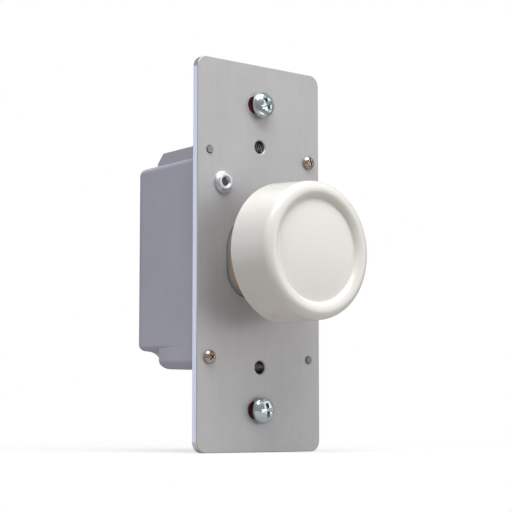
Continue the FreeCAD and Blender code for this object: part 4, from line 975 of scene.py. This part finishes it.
class DIMMER_OT_circuit(bpy.types.Operator):
    """Finish the circuit board and the small pieces on it"""

    bl_idname = "dimmer.circuit"
    bl_label = "Circuit board"

    def execute(self, context):
        finish_node("circuit_board", paper_laminate())
        finish_node("filter_capacitor", plain_moulding("dipped_yellow_polyester", linear("#D9A62C"), 0.3))
        finish_node("timing_capacitor", plain_moulding("dipped_red_polyester", linear("#8E261E"), 0.25))
        # Only the resistors' barrels, and not their leads, come as far to the front as this.
        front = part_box("resistors")[0].y + 0.05 * MM
        barrel = [v.co.x for v in frame["nodes"]["resistors"].data.vertices if v.co.y < front]
        finish_node("resistors", banded_film(min(barrel), max(barrel)))
        finish_node("diac", plain_moulding("sealed_glass_bead", linear("#B4633C"), 0.12))
        return {"FINISHED"}


class DIMMER_OT_stage(bpy.types.Operator):
    """Set the floor, the soft lights and the camera"""

    bl_idname = "dimmer.stage"
    bl_label = "Studio"

    def execute(self, context):
        make_floor()
        make_lights()
        make_camera()
        return {"FINISHED"}


def make_floor():
    """A sheet under the switch, 6 m wide."""
    bm = bmesh.new()
    bmesh.ops.create_grid(bm, x_segments=2, y_segments=2, size=3.0)
    floor = add_object("floor", bm)
    floor.location.z = CAD_BOX[0][2]
    floor.data.materials.append(studio_floor())


def soft_light(name, place, size, radiance, tint="#FFFFFF"):
    """A soft panel that faces the switch, as bright as radiance next to a white room of 1."""
    light = bpy.data.lights.new(name, "AREA")
    light.shape = "RECTANGLE"
    light.size, light.size_y = size
    light.energy = radiance * math.pi * size[0] * size[1]
    light.color = linear(tint)[:3]
    lamp = bpy.data.objects.new(name, light)
    bpy.context.scene.collection.objects.link(lamp)
    lamp.location = place
    lamp.rotation_euler = Vector(place).to_track_quat("Z", "Y").to_euler()
    lamp.visible_camera = False


def make_lights():
    """Two soft boxes above and in front, two panels that the plate mirrors on the right, a cool panel behind
    on the left, and a dim room that gets brighter towards its ceiling before a white backdrop."""
    soft_light("overhead_box", (-0.10, -0.20, 0.45), (0.46, 0.32), 6.1, "#FFFEFC")
    soft_light("front_box", (0.02, -0.34, 0.38), (0.46, 0.32), 0.2)
    soft_light("right_panel", (0.60, -0.64, 0.36), (0.70, 0.44), 0.85)
    soft_light("low_right_panel", (0.62, -0.64, -0.02), (0.70, 0.34), 1.1)
    soft_light("left_panel", (-0.61, 0.75, 0.10), (0.36, 0.46), 0.70, "#DCE4FF")
    world = bpy.data.worlds.new("white_room")
    bpy.context.scene.world = world
    world.use_nodes = True
    tree = world.node_tree
    tree.nodes.clear()
    way = add_node(tree, "TexCoord").outputs["Generated"]
    up = add_node(tree, "SeparateXYZ", Vector=way).outputs["Z"]
    height = add_node(tree, "MapRange", Value=up, _1=-0.5, _2=0.9).outputs["Result"]
    glow = shade_between(tree, height, [0.255, 0.218, 0.200, 1], [0.350, 0.385, 0.430, 1], 0, 1)
    room = add_node(tree, "Background", Color=glow)
    backdrop = add_node(tree, "Background", Color=linear("#FFFFFF"))
    seen = add_node(tree, "LightPath").outputs["Is Camera Ray"]
    mixed = add_node(tree, "MixShader", _0=seen, _1=room.outputs[0], _2=backdrop.outputs[0])
    add_node(tree, "OutputWorld", Surface=mixed.outputs[0])


def make_camera():
    """The camera at the photograph's view: 0.43 m away, from the left and a little below."""
    turned, tilted = math.radians(-40.61), math.radians(-5.93)
    back = Vector(
        (math.sin(turned) * math.cos(tilted), -math.cos(turned) * math.cos(tilted), math.sin(tilted))
    )
    lens = bpy.data.cameras.new("camera")
    lens.sensor_width = 36
    lens.lens = 109.9
    lens.clip_start = 0.01
    camera = bpy.data.objects.new("camera", lens)
    bpy.context.scene.collection.objects.link(camera)
    camera.location = (-0.2765, -0.3227, -0.0438)
    camera.rotation_euler = back.to_track_quat("Z", "Y").to_euler()
    bpy.context.scene.camera = camera
    bpy.context.scene.view_settings.view_transform = "Standard"


class DIMMER_PT_sidebar(bpy.types.Panel):
    """Lists the steps that dress the dimmer switch"""

    bl_idname = "DIMMER_PT_sidebar"
    bl_label = "Rotary dimmer switch"
    bl_space_type = "VIEW_3D"
    bl_region_type = "UI"
    bl_category = "Dimmer"

    def draw(self, context):
        for group in (context.scene.dimmer_sizes, context.scene.dimmer_colours):
            box = self.layout.box()
            for name in group.__annotations__:
                box.prop(group, name)
        for step in STEPS:
            self.layout.operator(step.bl_idname)


STEPS = (
    DIMMER_OT_stage,
    DIMMER_OT_yoke,
    DIMMER_OT_housing,
    DIMMER_OT_knob,
    DIMMER_OT_turning_parts,
    DIMMER_OT_mounting_screws,
    DIMMER_OT_housing_screws,
    DIMMER_OT_rivet,
    DIMMER_OT_control_track,
    DIMMER_OT_push_switch,
    DIMMER_OT_power_device,
    DIMMER_OT_choke,
    DIMMER_OT_circuit,
)
CLASSES = (DimmerSizes, DimmerColours, *STEPS, DIMMER_PT_sidebar)


def register():
    """Adds the steps, the sidebar and their settings to Blender."""
    for cls in CLASSES:
        bpy.utils.register_class(cls)
    bpy.types.Scene.dimmer_sizes = bpy.props.PointerProperty(type=DimmerSizes)
    bpy.types.Scene.dimmer_colours = bpy.props.PointerProperty(type=DimmerColours)


def unregister():
    """Takes them out again."""
    del bpy.types.Scene.dimmer_colours
    del bpy.types.Scene.dimmer_sizes
    for cls in reversed(CLASSES):
        bpy.utils.unregister_class(cls)


def main():
    """Runs the steps in order."""
    register()
    bpy.ops.dimmer.stage()
    bpy.ops.dimmer.yoke()
    bpy.ops.dimmer.housing()
    bpy.ops.dimmer.knob()
    bpy.ops.dimmer.turning_parts()
    bpy.ops.dimmer.mounting_screws()
    bpy.ops.dimmer.housing_screws()
    bpy.ops.dimmer.rivet()
    bpy.ops.dimmer.control_track()
    bpy.ops.dimmer.push_switch()
    bpy.ops.dimmer.power_device()
    bpy.ops.dimmer.choke()
    bpy.ops.dimmer.circuit()


if __name__ == "__main__":
    main()
